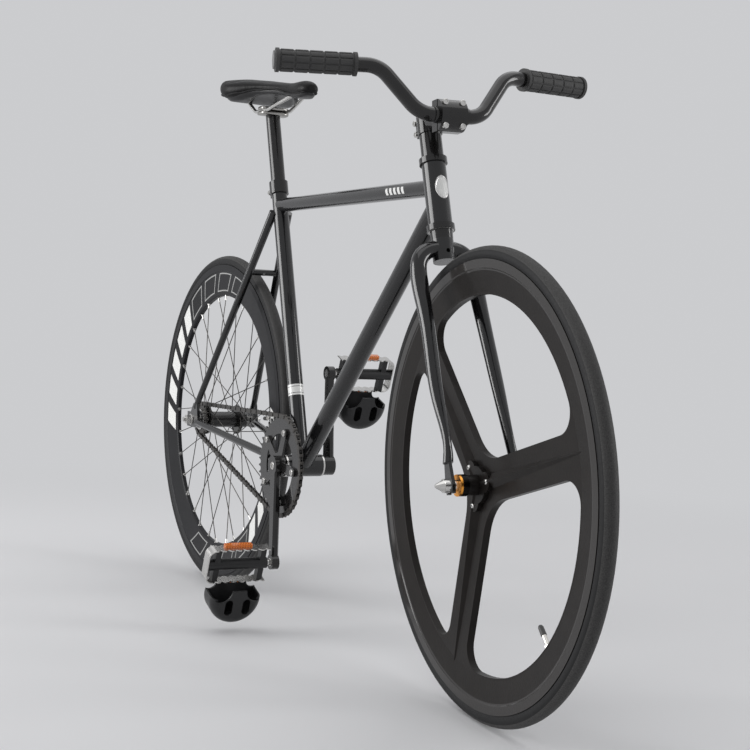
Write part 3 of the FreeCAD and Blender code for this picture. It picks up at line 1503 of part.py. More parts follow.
def crankset():
    """Spindle, both cranks, spider, chainring and their bolts, and the pedal spindles."""
    tip = size("spindle_tip")
    inner = size("crank_boss_inner") - 1
    along = crank_direction(-1)
    shaft_length = derive("spindle_length", inner * 2)
    shaft = rod("spindle_diameter / 2", shaft_length, pose(beside(BRACKET, -inner), ACROSS))
    square_at = pose(beside(BRACKET, -tip), ACROSS, along)
    square = block("spindle_square", "spindle_square", "spindle_tip * 2", square_at)
    stock = rod("spindle_diameter / 2", "spindle_tip * 2", square_at)
    keep("bottom_bracket_spindle", fuse(shaft, common(square, stock)))

    ring_face = size("chain_line") + size("ring_thickness") / 2
    spider = new_body(pose(beside(BRACKET, -ring_face), -ACROSS, along))
    half = size("spider_arm_width") / 2
    reach = size("bolt_circle_diameter") / 2
    arm = [
        Part.LineSegment(Vector(0, -half * 1.4, 0), Vector(reach, -half, 0)),
        Part.Arc(Vector(reach, -half, 0), Vector(reach + half, 0, 0), Vector(reach, half, 0)),
        Part.LineSegment(Vector(reach, half, 0), Vector(0, half * 1.4, 0)),
        Part.LineSegment(Vector(0, half * 1.4, 0), Vector(0, -half * 1.4, 0)),
    ]
    pad(spider, sketch_on(spider, "XY_Plane", circle(size("spider_hub_radius"))), "spider_thickness")
    polar(spider, pad(spider, sketch_on(spider, "XY_Plane", arm), "spider_thickness"), "spider_arms")

    bolt_holes, bolts = [], []
    stack = size("ring_thickness") + size("spider_thickness")
    foot_y = -ring_face + size("ring_thickness")
    stack_name = derive("ring_bolt_stack", stack)
    base_angle = math.atan2(along.z, along.x)
    for index in range(count("spider_arms")):
        angle = base_angle + index * 2 * math.pi / count("spider_arms")
        spot = BRACKET + Vector(math.cos(angle), 0, math.sin(angle)) * reach
        foot = beside(spot, foot_y)
        bolt_holes.append(rod("ring_bolt_diameter / 2 + seat_gap", stack_name, pose(foot, -ACROSS)))
        shank = rod("ring_bolt_diameter / 2", stack_name, pose(foot, -ACROSS))
        inner_head = rod("ring_bolt_head / 2", "ring_bolt_head_height", pose(foot, ACROSS))
        outer_at = pose(beside(spot, foot_y - stack), -ACROSS)
        outer_head = rod("ring_bolt_head / 2", "ring_bolt_head_height", outer_at)
        bolts.append(fuse(shank, inner_head, outer_head))
    holes = group(*bolt_holes)

    first = drive_point(CHAIN_PINS[0]) - BRACKET
    disc = sprocket(BRACKET, "ring_teeth", RING_RADIUS, math.atan2(first.z, first.x), "ring_thickness")
    middle_at = pose(beside(BRACKET, -size("chain_line") * 2), ACROSS)
    middle_hole = rod("ring_inner_radius", "chain_line * 2", middle_at)
    keep("chainring", cut(disc, middle_hole, holes))

    spindles = []
    for side, sign in SIDES.items():
        solids, tools, eye_spot = crank_arm(sign)
        if sign < 0:
            solids.append(spider)
            tools.append(holes)
        keep(f"{side}_crank", cut(fuse(*solids), *tools))
        bolt_at = pose(beside(BRACKET, sign * tip), ACROSS * sign)
        bolts.append(rod("crank_bolt_diameter / 2", "crank_bolt_height", bolt_at))
        outward = ACROSS * sign
        thread_at = pose(beside(eye_spot, sign * size("crank_eye_inner")), outward)
        thread = rod("pedal_spindle_thread / 2", "crank_eye_outer - crank_eye_inner", thread_at)
        shaft_at = pose(beside(eye_spot, sign * size("crank_eye_outer")), outward)
        shaft = rod("pedal_spindle_diameter / 2", "pedal_gap + pedal_width - 6", shaft_at)
        spindles.append(fuse(thread, shaft))
        pedal(side, sign, eye_spot)
    keep("crankset_bolts", group(*bolts))
    keep("pedal_spindles", group(*spindles))


def pedal(side, sign, eye_spot):
    """A cage pedal that hangs nose down and a little back, by the weight of its toe clip."""
    start = beside(eye_spot, sign * (size("crank_eye_outer") + size("pedal_gap")))
    tilt = math.radians(size("pedal_rest_tilt"))
    nose = Vector(-math.sin(tilt), 0, -math.cos(tilt))
    sole = Vector(math.cos(tilt), 0, -math.sin(tilt))
    outward = ACROSS * sign
    width, length = size("pedal_width"), size("pedal_length")

    def spot(ahead, out, rise=0.0):
        return start + nose * ahead + outward * out + sole * rise

    barrel_length = "pedal_width - cage_thickness - seat_gap"
    barrel = rod("pedal_barrel_diameter / 2", barrel_length, pose(start, outward))
    inset = size("cage_thickness") + size("seat_gap")
    bar_length = derive(f"{side}_pedal_bar", length - inset * 2)
    bars = []
    for out in (size("pedal_bar_width"), width - size("cage_corner") - size("pedal_bar_width") / 2):
        low = spot(0, out, -size("pedal_bar_height") / 2)
        bars.append(block(bar_length, "pedal_bar_width", "pedal_bar_height", pose(low, sole, nose)))
    bore = rod("pedal_spindle_diameter / 2 + running_gap", "pedal_width - 6", pose(start, outward))
    keep(f"{side}_pedal_body", cut(fuse(barrel, *bars), bore))

    keep(f"{side}_pedal_cage", pedal_cage(spot, sole, nose, outward))

    rear_face = spot(-length / 2, width / 2, -size("cage_height") * 0.2)
    rear = block("reflector_width", "reflector_height", "reflector_depth", pose(rear_face, -nose, outward))
    front_face = spot(length / 2, width / 2, size("reflector_height") * 0.3)
    front = block(
        "reflector_width * 0.5", "reflector_height * 0.4", "reflector_depth * 0.5",
        pose(front_face, nose, outward),
    )
    keep(f"{side}_pedal_reflectors", group(rear, front))

    keep(f"{side}_toe_clip", toe_clip(spot, sole, nose))


def pedal_cage(spot, sole, nose, outward):
    """A bent strip with serrated edges: front, outer end and rear in one piece."""
    width, length = size("pedal_width"), size("pedal_length")
    corner = size("cage_corner")
    thick = size("cage_thickness")
    height = size("cage_height")

    def outline(shrink):
        half = length / 2 - shrink
        end = width - shrink
        bend = corner - shrink
        diagonal = bend * (1 - math.sqrt(0.5))
        rear_in, rear_out = spot(-half, 0), spot(-half, end - bend)
        front_in, front_out = spot(half, 0), spot(half, end - bend)
        end_rear, end_front = spot(bend - half, end), spot(half - bend, end)
        edges = [
            Part.LineSegment(rear_in, rear_out).toShape(),
            Part.Arc(rear_out, spot(diagonal - half, end - diagonal), end_rear).toShape(),
            Part.LineSegment(end_rear, end_front).toShape(),
            Part.Arc(end_front, spot(half - diagonal, end - diagonal), front_out).toShape(),
            Part.LineSegment(front_out, front_in).toShape(),
            Part.LineSegment(front_in, rear_in).toShape(),
        ]
        face = Part.Face(Part.Wire(edges))
        face.translate(sole * -height / 2)
        return face.extrude(sole * height)

    strip = outline(0).cut(outline(thick))
    teeth = count("cage_teeth")
    step = (width - corner) / teeth
    depth = size("cage_tooth_depth")
    for level in (-1, 1):
        for index in range(teeth):
            middle = spot(-length, step * (index + 0.5), level * height / 2)
            low = middle - outward * step * 0.36
            high = middle + outward * step * 0.36
            deep = middle - sole * level * depth
            notch = Part.Face(Part.makePolygon([low, high, deep, low])).extrude(nose * length * 2)
            strip = strip.cut(notch)
    return feature(strip.Solids[0], "pedal_cage")


def toe_clip(spot, sole, nose):
    """A round cup for the toes with a tongue over the instep, on a necked plate at the cage's front."""
    thick = size("clip_thickness")
    radius = size("clip_width") / 2
    low = -size("cage_height") * 0.3
    high = low + size("clip_height")
    front = size("pedal_length") / 2 + size("seat_gap")
    ahead = front + size("clip_reach") - radius
    middle = size("pedal_width") / 2
    centre = spot(ahead, middle)

    def drum(shrink):
        """A round box with its upper edge rounded, smaller all over by a wall."""
        wide, bend = radius - shrink, size("clip_corner") - shrink
        floor, roof = low + shrink, high - shrink
        diagonal = bend * (1 - math.sqrt(0.5))

        def at(out, rise):
            return centre + nose * out + sole * rise

        side_top, roof_edge = at(wide, roof - bend), at(wide - bend, roof)
        corners = [roof_edge, at(0, roof), at(0, floor), at(wide, floor), side_top]
        edges = [Part.LineSegment(a, b).toShape() for a, b in zip(corners, corners[1:])]
        edges.append(Part.Arc(side_top, at(wide - diagonal, roof - diagonal), roof_edge).toShape())
        return Part.Face(Part.Wire(edges)).revolve(centre, sole, 360)

    cup = feature(drum(0).cut(drum(thick)), "toe_cup")
    mouth_end = ahead - size("clip_mouth") - size("clip_width")
    mouth_at = pose(spot(mouth_end, middle, low + thick), sole, nose)
    tools = [block("clip_width * 2", "clip_width * 2", "clip_height - clip_thickness * 2", mouth_at)]
    rear_at = pose(spot(front - size("clip_width"), middle, -size("clip_height")), sole, nose)
    tools.append(block("clip_width * 2", "clip_width * 2", "clip_height * 2", rear_at))
    scallop = size("clip_scallop") / 2
    roof = high - thick * 2
    through = "clip_thickness * 4"
    window = ahead + size("clip_window_ahead")
    half_run = (size("clip_window_length") - size("clip_window")) / 2
    for sign in SIDES.values():
        aside = middle + sign * (size("clip_neck") / 2 + scallop)
        scallop_at = pose(spot(front + scallop / 2, aside, low - thick), sole)
        tools.append(rod("clip_scallop / 2", "clip_thickness * 2", scallop_at))
        bare = middle + sign * (size("clip_tongue") / 2 + size("clip_shoulder"))
        tools.append(rod("clip_shoulder", through, pose(spot(front, bare, roof), sole)))
        across = middle + sign * size("clip_window_spread") / 2
        window_at = pose(spot(window, across, roof), sole, nose)
        tools.append(block("clip_window_length - clip_window", "clip_window", through, window_at))
        for end in (-half_run, half_run):
            tools.append(rod("clip_window / 2", through, pose(spot(window + end, across, roof), sole)))
    tab_at = pose(spot(front + thick / 2, middle, low), sole, nose)
    tab = block("clip_thickness", "clip_neck * 0.8", "cage_height * 0.3", tab_at)
    return fuse(cut(cup, *tools), tab)


def seat():
    """Seatpost with its rail clamp, the saddle rails, base shell and padded cover."""
    low, high = size("post_bottom_reach"), size("post_top_reach")
    length = derive("post_length", high - low)
    post_at = pose(on_seat(low), SEAT_UP)
    post = rod("post_diameter / 2", length, post_at)
    hollow = rod("post_diameter / 2 - post_wall", f"{length} - post_diameter", post_at)
    head_spot = on_seat(high)
    head_at = Placement(head_spot, Rotation())
    flat = block("cradle_length * 2", "cradle_width * 2", "post_diameter * 2", head_at)
    keep("seatpost", cut(post, hollow, flat))

    rail_height = head_spot.z + size("cradle_height")
    rails, grooves = [], []
    centre = Vector(head_spot.x, 0, rail_height)
    for sign in SIDES.values():
        wire = rail_path(centre, sign)
        rails.append(feature(pipe(wire, size("rail_diameter") / 2), "rail"))
        groove_start = centre + Vector(-size("rail_straight"), sign * size("rail_spread"), 0)
        groove_at = pose(groove_start, Vector(1, 0, 0))
        grooves.append(rod("rail_diameter / 2 + seat_gap", "rail_straight * 2", groove_at))
    trim = saddle(centre)
    keep("saddle_rails", group(*[cut(rail, trim) for rail in rails]))

    bolt_hole = rod(
        "clamp_bolt_diameter / 2 + seat_gap", "cradle_height * 2",
        Placement(Vector(head_spot.x, 0, head_spot.z), Rotation()),
    )
    gap = size("cradle_gap") / 2
    jaw_height = f"cradle_height - {gap}"
    lower = block("cradle_length", "cradle_width", jaw_height, head_at)
    upper_at = Placement(Vector(head_spot.x, 0, rail_height + gap), Rotation())
    upper = block("cradle_length", "cradle_width", jaw_height, upper_at)
    top = Vector(head_spot.x, 0, rail_height + size("cradle_height"))
    head = rod("clamp_bolt_head / 2", "clamp_bolt_head_height", Placement(top, Rotation()))
    shank = rod("clamp_bolt_diameter / 2", "cradle_height * 2", Placement(head_spot, Rotation()))
    jaws = [cut(jaw, bolt_hole, *grooves) for jaw in (lower, upper)]
    keep("seat_clamp", group(*jaws, fuse(head, shank)))


def rail_path(centre, sign):
    """One rail: nose end, straight clamp stretch, tail end."""
    half = size("rail_straight") / 2
    spread = sign * size("rail_spread")
    nose = Vector(half + size("rail_front_reach"), sign * size("rail_nose_spread"), size("rail_front_rise"))
    tail_x = -half - size("rail_rear_reach") * 0.45
    tail = Vector(tail_x, sign * size("rail_spread") * 1.25, size("rail_rear_rise"))
    points = [nose, Vector(half, spread, 0), Vector(-half, spread, 0), tail]
    return route([centre + point for point in points], size("rail_bend_radius"))


def saddle_sections():
    """Share of the length from tail to nose, with width, lower edge and upper edge there."""
    wide = size("saddle_width") / 2
    nose = size("saddle_nose_width") / 2
    thick = size("saddle_thickness")
    lift, drop = size("saddle_tail_lift"), size("saddle_nose_drop")
    return [
        (0.000, wide * 0.62, lift, thick * 0.82),
        (0.060, wide * 0.90, lift * 0.60, thick * 1.12),
        (0.180, wide * 1.00, 0.0, thick * 1.20),
        (0.320, wide * 0.80, lift * 0.30, thick * 0.90),
        (0.480, wide * 0.46, lift * 0.60, thick * 0.58),
        (0.650, nose * 1.10, lift * 0.20, thick * 0.54),
        (0.850, nose * 1.00, -drop, thick * 0.76),
        (0.960, nose * 0.86, -drop, thick * 0.66),
        (1.000, nose * 0.52, -drop * 0.7, thick * 0.40),
    ]


def saddle_wire(x, z, wide, low, high, crown):
    """One cross-section: flat below, bulging sides and a crowned top."""
    shoulder = low + (high - low) * 0.55
    bottom = wide * 0.86
    shoulder_out = wide * 0.93
    left, right = Vector(x, wide * 0.72, z + high - crown), Vector(x, -wide * 0.72, z + high - crown)
    low_left, low_right = Vector(x, bottom, z + low), Vector(x, -bottom, z + low)
    edges = [
        Part.LineSegment(low_right, low_left).toShape(),
        Part.Arc(low_left, Vector(x, shoulder_out + wide * 0.07, z + shoulder), left).toShape(),
        Part.Arc(left, Vector(x, 0, z + high), right).toShape(),
        Part.Arc(right, Vector(x, -shoulder_out - wide * 0.07, z + shoulder), low_right).toShape(),
    ]
    return Part.Wire(edges)


def saddle(centre):
    """Padded cover with a crown, over a thin base shell that holds the rails."""
    length = size("saddle_length")
    tail_x = centre.x - size("saddle_tail_behind")
    base_z = centre.z + size("saddle_base_rise")
    skin = size("saddle_shell_thickness")
    inset = size("saddle_shell_inset")
    covers, shells, trims = [], [], []
    for share, wide, low, high in saddle_sections():
        x = tail_x + share * length
        covers.append(saddle_wire(x, base_z, wide, low, low + high, high * 0.16))
        inner = max(wide - inset, wide * 0.5)
        bottom = base_z + low - skin - size("swing_gap")
        shells.append(saddle_base(x, inner, bottom, skin))
        trims.append(saddle_base(x, wide, bottom, high))
    padding = feature(Part.makeLoft(covers, True, False), "saddle_padding")
    shell = cut(feature(Part.makeLoft(shells[1:-1], True, False), "saddle_base"), padding)
    keep("saddle_padding", padding)
    keep("saddle_shell", shell)
    return feature(Part.makeLoft(trims[1:-1], True, False), "rail_trim")


def saddle_base(x, wide, bottom, thickness):
    """One cross-section of the base shell: a flat bar."""
    corners = [(wide, bottom), (wide, bottom + thickness), (-wide, bottom + thickness), (-wide, bottom)]
    points = [Vector(x, y, z) for y, z in corners]
    return Part.makePolygon(points + points[:1])


def build():
    """Make every sub-part of the bike."""
    seat_solid, shell_solid = frame_tubes()
    rear_triangle(seat_solid, shell_solid)
    seat_collar()
    headset_cups()
    bottom_bracket()
    rear_axle()
    chain()
    fork()
    headset_stack()
    handlebar(stem())
    front_axle()
    first = math.radians(size("tri_spoke_first_angle"))
    front_valve = first - math.pi / count("tri_spoke_count")
    rear_valve = math.pi / count("spoke_count")
    front_wheel(front_valve)
    tyre("front_tyre", "front_inner_tube", FRONT, size("front_valve_tip_radius"), front_valve, STEER)
    rear_wheel(rear_valve)
    tyre("rear_tyre", "rear_inner_tube", REAR, size("rear_valve_tip_radius"), rear_valve, None)
    crankset()
    seat()


def check():
    """Stop if any object failed, or any sub-part has no sound solid."""
    faults = [item.Label for item in doc.Objects if {"Invalid", "Error"} & set(item.State)]
    for name, item in NODES.items():
        shape = item.Shape
        if shape.isNull() or not shape.isValid() or not shape.Solids:
            faults.append(name + " has no sound solid")
    if faults:
        raise RuntimeError("; ".join(faults))


def write():
    """Write each sub-part to its own file."""
    os.makedirs("parts", exist_ok=True)
    for name, item in NODES.items():
        item.Shape.exportStep(os.path.join("parts", name + ".step"))


build()
doc.recompute()
check()
write()
print(f"axle distance {AXLE_DISTANCE:.3f} mm, chain closes to {CHAIN_MISS:.6f} mm")
print(f"{len(NODES)} sub-parts, {sum(len(item.Shape.Solids) for item in NODES.values())} solids")
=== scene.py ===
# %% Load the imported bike
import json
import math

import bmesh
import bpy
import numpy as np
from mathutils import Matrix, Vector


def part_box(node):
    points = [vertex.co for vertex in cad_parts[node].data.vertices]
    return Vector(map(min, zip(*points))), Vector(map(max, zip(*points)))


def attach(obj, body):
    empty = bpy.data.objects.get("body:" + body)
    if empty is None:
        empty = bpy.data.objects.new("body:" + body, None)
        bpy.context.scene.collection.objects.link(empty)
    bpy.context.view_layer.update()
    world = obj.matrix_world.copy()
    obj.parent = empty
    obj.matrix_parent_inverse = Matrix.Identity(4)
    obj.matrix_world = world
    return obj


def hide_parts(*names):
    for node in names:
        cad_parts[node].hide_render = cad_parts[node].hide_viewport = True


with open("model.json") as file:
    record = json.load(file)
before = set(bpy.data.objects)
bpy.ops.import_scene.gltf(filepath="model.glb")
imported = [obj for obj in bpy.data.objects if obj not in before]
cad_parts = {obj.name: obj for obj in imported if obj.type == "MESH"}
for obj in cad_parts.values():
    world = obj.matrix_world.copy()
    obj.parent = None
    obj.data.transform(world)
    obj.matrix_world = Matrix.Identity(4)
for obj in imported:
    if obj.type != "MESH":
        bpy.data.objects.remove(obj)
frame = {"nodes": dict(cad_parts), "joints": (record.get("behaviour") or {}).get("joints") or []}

# %% [markdown]
# # A fixed gear bike in a pale studio
# The solids of the bike come in already placed, one mesh for each node, in metres.
# Everything below gives them finishes and adds the small things that a solid model
# leaves out: bolt faces, grip blocks, eyelets, the badge plate, the valves, the jaws of the
# seat clamp and the saddle's soft cover with its rolled edge.

scene = bpy.context.scene
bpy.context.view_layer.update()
joints = {joint["name"]: joint for joint in frame["joints"]}


def points_of(node):
    """The corners of a node's mesh as one array."""
    mesh = frame["nodes"][node].data
    flat = np.zeros(len(mesh.vertices) * 3)
    mesh.vertices.foreach_get("co", flat)
    return flat.reshape(-1, 3)


# %% [markdown]
# ## The camera
# The picture was taken from the right-hand front corner, a little over half a metre up,
# with a fairly long lens. A camera is a position and three directions, so the matrix is
# written from its yaw, its pitch and a small roll. That is easier to check than Euler angles.

# %% Set the camera
CAMERA_PLACE = Vector((2.14746, -1.04971, 0.56905))
CAMERA_YAW, CAMERA_PITCH, CAMERA_ROLL = 2.6564, -0.0451, 0.0476
CAMERA_LENS, CAMERA_FILM, CAMERA_FAR = 66.53, 36, 200


def stand(name, data):
    """A new object in the scene that holds a mesh, a curve, a lamp or a camera."""
    holder = bpy.data.objects.new(name, data)
    scene.collection.objects.link(holder)
    return holder


looking = Vector((
    math.cos(CAMERA_YAW) * math.cos(CAMERA_PITCH),
    math.sin(CAMERA_YAW) * math.cos(CAMERA_PITCH),
    math.sin(CAMERA_PITCH),
))
level = Vector((math.sin(CAMERA_YAW), -math.cos(CAMERA_YAW), 0))
upward = level.cross(looking)
rightward = level * math.cos(CAMERA_ROLL) + upward * math.sin(CAMERA_ROLL)
upward = upward * math.cos(CAMERA_ROLL) - level * math.sin(CAMERA_ROLL)

camera_data = bpy.data.cameras.new("studio camera")
camera_data.sensor_width = CAMERA_FILM
camera_data.lens = CAMERA_LENS
camera_data.clip_end = CAMERA_FAR
camera = stand("studio camera", camera_data)
camera.matrix_world = Matrix((
    (rightward.x, upward.x, -looking.x, CAMERA_PLACE.x),
    (rightward.y, upward.y, -looking.y, CAMERA_PLACE.y),
    (rightward.z, upward.z, -looking.z, CAMERA_PLACE.z),
    (0, 0, 0, 1),
))
scene.camera = camera
print("camera looks along", [round(c, 3) for c in looking])

# %% [markdown]
# ## Sums on sockets
# A material is a graph of nodes, and writing it link by link hides the idea. `Term` wraps
# one socket and takes ordinary arithmetic, so a pattern reads like a formula. `Graph.add`
# makes any other node: its kind, its settings and what goes into its sockets.


# %% Write sums on sockets
def math_node(operation, swapped=False):
    """A method that puts its operands into one Math node."""
    def method(term, *others):
        values = [*others, term] if swapped else [term, *others]
        return term.graph.add("ShaderNodeMath", {"operation": operation}, values)
    return method


class Term:
    """One output socket that ordinary sums can be written on."""

    def __init__(self, graph, socket):
        self.graph = graph
        self.socket = socket

    __add__ = __radd__ = math_node("ADD")
    __sub__ = math_node("SUBTRACT")
    __rsub__ = math_node("SUBTRACT", swapped=True)
    __mul__ = __rmul__ = math_node("MULTIPLY")
    __truediv__ = math_node("DIVIDE")
    __mod__ = math_node("FLOORED_MODULO")
    __lt__ = math_node("LESS_THAN")
    __gt__ = math_node("GREATER_THAN")
    __abs__ = math_node("ABSOLUTE")
    root = math_node("SQRT")
    floor = math_node("FLOOR")
    arctan2 = math_node("ARCTAN2")
    at_most = math_node("MINIMUM")


class Graph:
    """A node tree that grows one call at a time."""

    def __init__(self, tree):
        self.tree = tree

    def add(self, kind, settings=None, sockets=None, out=0):
        node = self.tree.nodes.new(kind)
        for name, value in (settings or {}).items():
            setattr(node, name, value)
        pairs = enumerate(sockets) if isinstance(sockets, list) else (sockets or {}).items()
        for key, value in pairs:
            if isinstance(value, Term):
                self.tree.links.new(value.socket, node.inputs[key])
            else:
                node.inputs[key].default_value = value
        return Term(self, node.outputs[out])


# %% [markdown]
# ## What a finish is
# No real surface has one even colour or one even polish. So a finish starts from a plain shader
# and lets noise wander through the colour and the roughness, with a bump for what is
# too fine to model. Places are measured along a line or about an axle, in the bike's own metres.


# %% Describe a finish
class Finish(Graph):
    """A material on one principled shader, patterned by object coordinates."""

    def __init__(self, name, colour, **fixed):
        self.material = bpy.data.materials.new(name)
        self.material.use_nodes = True
        super().__init__(self.material.node_tree)
        self.shader = self.tree.nodes["Principled BSDF"]
        self.place = self.add("ShaderNodeTexCoord", out="Object")
        self.colour = (*colour, 1)
        self.shader.inputs["Base Color"].default_value = self.colour
        for socket, value in fixed.items():
            self.shader.inputs[socket.replace("_", " ")].default_value = value

    def feed(self, socket, term):
        self.tree.links.new(term.socket, self.shader.inputs[socket])

    def noise(self, scale, detail=3):
        return self.add("ShaderNodeTexNoise", {}, {
            "Vector": self.place, "Scale": scale, "Detail": detail})

    def mix(self, mask, first, second):
        ends = [end if isinstance(end, Term) else (*end[:3], 1) for end in (first, second)]
        return self.add("ShaderNodeMix", {"data_type": "RGBA"}, {0: mask, 6: ends[0], 7: ends[1]}, out=2)

    def mottle(self, scale, first, second, detail=3):
        """Base colour that wanders between two colours."""
        self.tint = self.mix(self.noise(scale, detail), first, second)
        self.feed("Base Color", self.tint)

    def polish(self, least, spread, scale, detail=3):
        """Roughness that wanders up from a least value."""
        self.feed("Roughness", least + self.noise(scale, detail) * spread)

    def bump(self, height, depth):
        self.feed("Normal", self.add("ShaderNodeBump", {}, {"Distance": depth, "Height": height}))

    def along(self, origin, direction):
        """How far a point lies from the origin in one direction."""
        spot = self.add("ShaderNodeVectorMath", {"operation": "SUBTRACT"}, [self.place, tuple(origin)])
        return self.add(
            "ShaderNodeVectorMath", {"operation": "DOT_PRODUCT"}, [spot, tuple(direction)], out=1)

    def round_axle(self, centre, axle):
        """Angle, radius and sideways place about an axle."""
        axle = Vector(axle).normalized()
        ahead = axle.cross(Vector((0, 0, 1))).normalized()
        x = self.along(centre, ahead)
        z = self.along(centre, ahead.cross(axle))
        return z.arctan2(x), (x * x + z * z).root(), self.along(centre, axle)


def between(term, low, high):
    """1 between two values, 0 outside."""
    return (term > low) * (term < high)


dressed = set()


def coat(mesh, finish, smooth=False):
    """One finish for a whole mesh, with soft shading where it is asked for."""
    mesh.materials.clear()
    mesh.materials.append(finish.material)
    if smooth:
        mesh.polygons.foreach_set("use_smooth", [True] * len(mesh.polygons))


def dress(finish, *nodes):
    """Gives CAD nodes a finish."""
    for node in nodes:
        coat(frame["nodes"][node].data, finish)
        dressed.add(node)
    print(finish.material.name, "on", ", ".join(nodes))


# %% [markdown]
# ## Gloss black paint
# The frame and fork are sprayed black under a clear coat. The colour is almost nothing;
# the eye reads the reflections, so the coat does the work. A faint ripple in the surface
# and a little haze in the lower layer keep the tubes from looking like glass rods.

# %% Paint the frame and the fork
BLACK_SHEEN = 0.12  # a black piece shines by its coat, so its own layer keeps little sheen
LACQUER_BLACK = (0.004, 0.004, 0.0045)
LACQUER_FLECK = (0.0065, 0.0065, 0.00725)


def gloss_paint(name):
    """Black lacquer under a clear coat."""
    paint = Finish(
        name, LACQUER_BLACK, Coat_Weight=1, Coat_Roughness=0.06, Specular_IOR_Level=BLACK_SHEEN)
    paint.polish(0.22, 0.12, 60)
    paint.mottle(900, LACQUER_BLACK, LACQUER_FLECK, 1)
    paint.bump(paint.noise(70, 1), 0.00002)
    return paint


dress(
    gloss_paint("gloss black lacquer"), "head_tube", "down_tube", "bottom_bracket_shell", "chainstays",
    "seatstays", "track_ends", "stay_bridges", "fork_crown", "fork_blades",
)

# %% [markdown]
# ## Marks in the paint
# A pale band runs round the foot of the seat tube, and a few short slanted dashes sit on
# the sides of the top tube. They are thin transfers, so they live in the colour and need
# no mesh. Each mask is a distance along the tube's own axis, found from its points.

# %% Mark the seat tube
TRANSFER_WHITE = (0.78, 0.78, 0.76)
BAND_FOOT, BAND_TOP = 0.128, 0.148
BAND_LINES, LINE_HALF = (0.132, 0.144), 0.0005

seat_up = Vector(joints["seatpost_slide"]["axis"])
crank_centre = Vector(joints["crank_spin"]["pos_m"])
seat_paint = gloss_paint("seat tube lacquer")
climb = seat_paint.along(crank_centre, seat_up)
band = between(climb, BAND_FOOT, BAND_TOP)
for height in BAND_LINES:
    band = band - between(climb, height - LINE_HALF, height + LINE_HALF)
seat_paint.feed("Base Color", seat_paint.mix(band, seat_paint.tint, TRANSFER_WHITE))
dress(seat_paint, "seat_tube")


# %% Mark the top tube
def spine(points):
    """Middle and long direction of a slender cloud of points."""
    middle = (points.min(0) + points.max(0)) / 2
    direction = np.linalg.svd(points - points.mean(0), full_matrices=False)[2][0]
    return Vector(middle), Vector(direction)


DASH_PITCH, DASH_WIDTH, DASH_LEAN = 0.013, 0.0075, 0.5
DASHES_FROM, DASHES_TO, DASH_HALF_TALL = 0.155, 0.217, 0.0055

top_middle, top_line = spine(points_of("top_tube"))
if top_line.x < 0:
    top_line = -top_line
top_paint = gloss_paint("top tube lacquer")
run = top_paint.along(top_middle, top_line)
rise = top_paint.along(top_middle, top_line.cross(Vector((0, -1, 0))).normalized())
dash = ((run - rise * DASH_LEAN) % DASH_PITCH) < DASH_WIDTH
field = between(run, DASHES_FROM, DASHES_TO) * between(rise, -DASH_HALF_TALL, DASH_HALF_TALL)
top_paint.feed("Base Color", top_paint.mix(dash * field, top_paint.tint, TRANSFER_WHITE))
dress(top_paint, "top_tube")
print("top tube runs along", [round(c, 3) for c in top_line])

# %% [markdown]
# ## Black alloy
# Stem, bar, cranks, hub and seatpost are aluminium, dyed black. The dye is thin, so the
# metal still shines through softly: a dark metallic base, a fine grain in the roughness,
# and a slight brown where the light catches it. The cast front wheel is duller, but the
# track near its tyre, where a brake would rub, is smooth, and its colour is painted a little
# lighter as a sheen.

# %% Finish the black alloy pieces
ALLOY_METAL = 0.2


def dyed_alloy(name, colour=(0.007, 0.0066, 0.0066), rough=0.20, coating=0.8, pits=(300, 1, 0.00001)):
    """Dark dyed aluminium with a fine grain. Pits have a scale, a detail and a depth."""
    alloy = Finish(
        name, colour, Metallic=ALLOY_METAL, Coat_Weight=coating, Coat_Roughness=0.08,
        Specular_IOR_Level=BLACK_SHEEN)
    alloy.polish(rough, 0.14, 420, 2)
    alloy.mottle(35, colour, [channel * 1.9 for channel in colour])
    scale, detail, depth = pits
    alloy.bump(alloy.noise(scale, detail), depth)
    return alloy


dress(
    dyed_alloy("dyed black alloy"), "headset_cups", "headset_stack", "stem", "stem_faceplate", "handlebar",
    "seat_collar", "seatpost", "rear_hub", "right_crank", "left_crank", "chainring",
)

# %% Finish the cast wheel
BRAKE_TRACK_RADIUS = 0.3005
CAST_COAT, TRACK_COAT = 0.05, 0.70

front_spin = joints["front_wheel_spin"]
casting = dyed_alloy("cast wheel, satin", (0.010, 0.0086, 0.0078), 0.32, CAST_COAT, (260, 3, 0.00015))
track_and_sheen = casting.round_axle(front_spin["pos_m"], front_spin["axis"])[1] > BRAKE_TRACK_RADIUS
# The track's colour is painted a little lighter as a sheen; its stronger coat is the real smooth finish.
casting.feed("Base Color", casting.mix(track_and_sheen, casting.tint, (0.018, 0.0155, 0.014)))
casting.feed("Coat Weight", CAST_COAT + track_and_sheen * (TRACK_COAT - CAST_COAT))
dress(casting, "front_wheel")

# %% [markdown]
# ## Marks on the deep rim
# The rear rim carries large pale marks on both flanks. Here they are bold slanted blocks on
# two opposite sides and thin hollow frames between them. Angle and radius about the
# axle make the layout, so the same lines serve both flanks and follow the circle.

# %% Finish the rear rim
FLANK_LOW, FLANK_MIDDLE, FLANK_HIGH = 0.263, 0.281, 0.300
MARK_LEAN, MARKS_HALF_TURN = 2.2, 0.50
BLOCK_STEPS, BLOCK_SHARE, BLOCKS_AT = 30, 0.66, -0.36
FRAME_STEPS, FRAME_EDGE, FRAMES_AT = 22, 0.12, math.pi / 2 + 0.1
FRAME_LINE_SHARE, FRAME_LINE, FRAME_STRENGTH = 0.04, 0.0025, 0.45


def near(term, turn):
    """1 close to an angle or its opposite."""
    return abs((term - turn + math.pi / 2) % math.pi - math.pi / 2) < MARKS_HALF_TURN


def steps(term, count):
    """The middle of the step round the circle that a point lies in, and how far along it."""
    turn = term * count / math.tau
    return (turn.floor() + 0.5) * math.tau / count, turn % 1


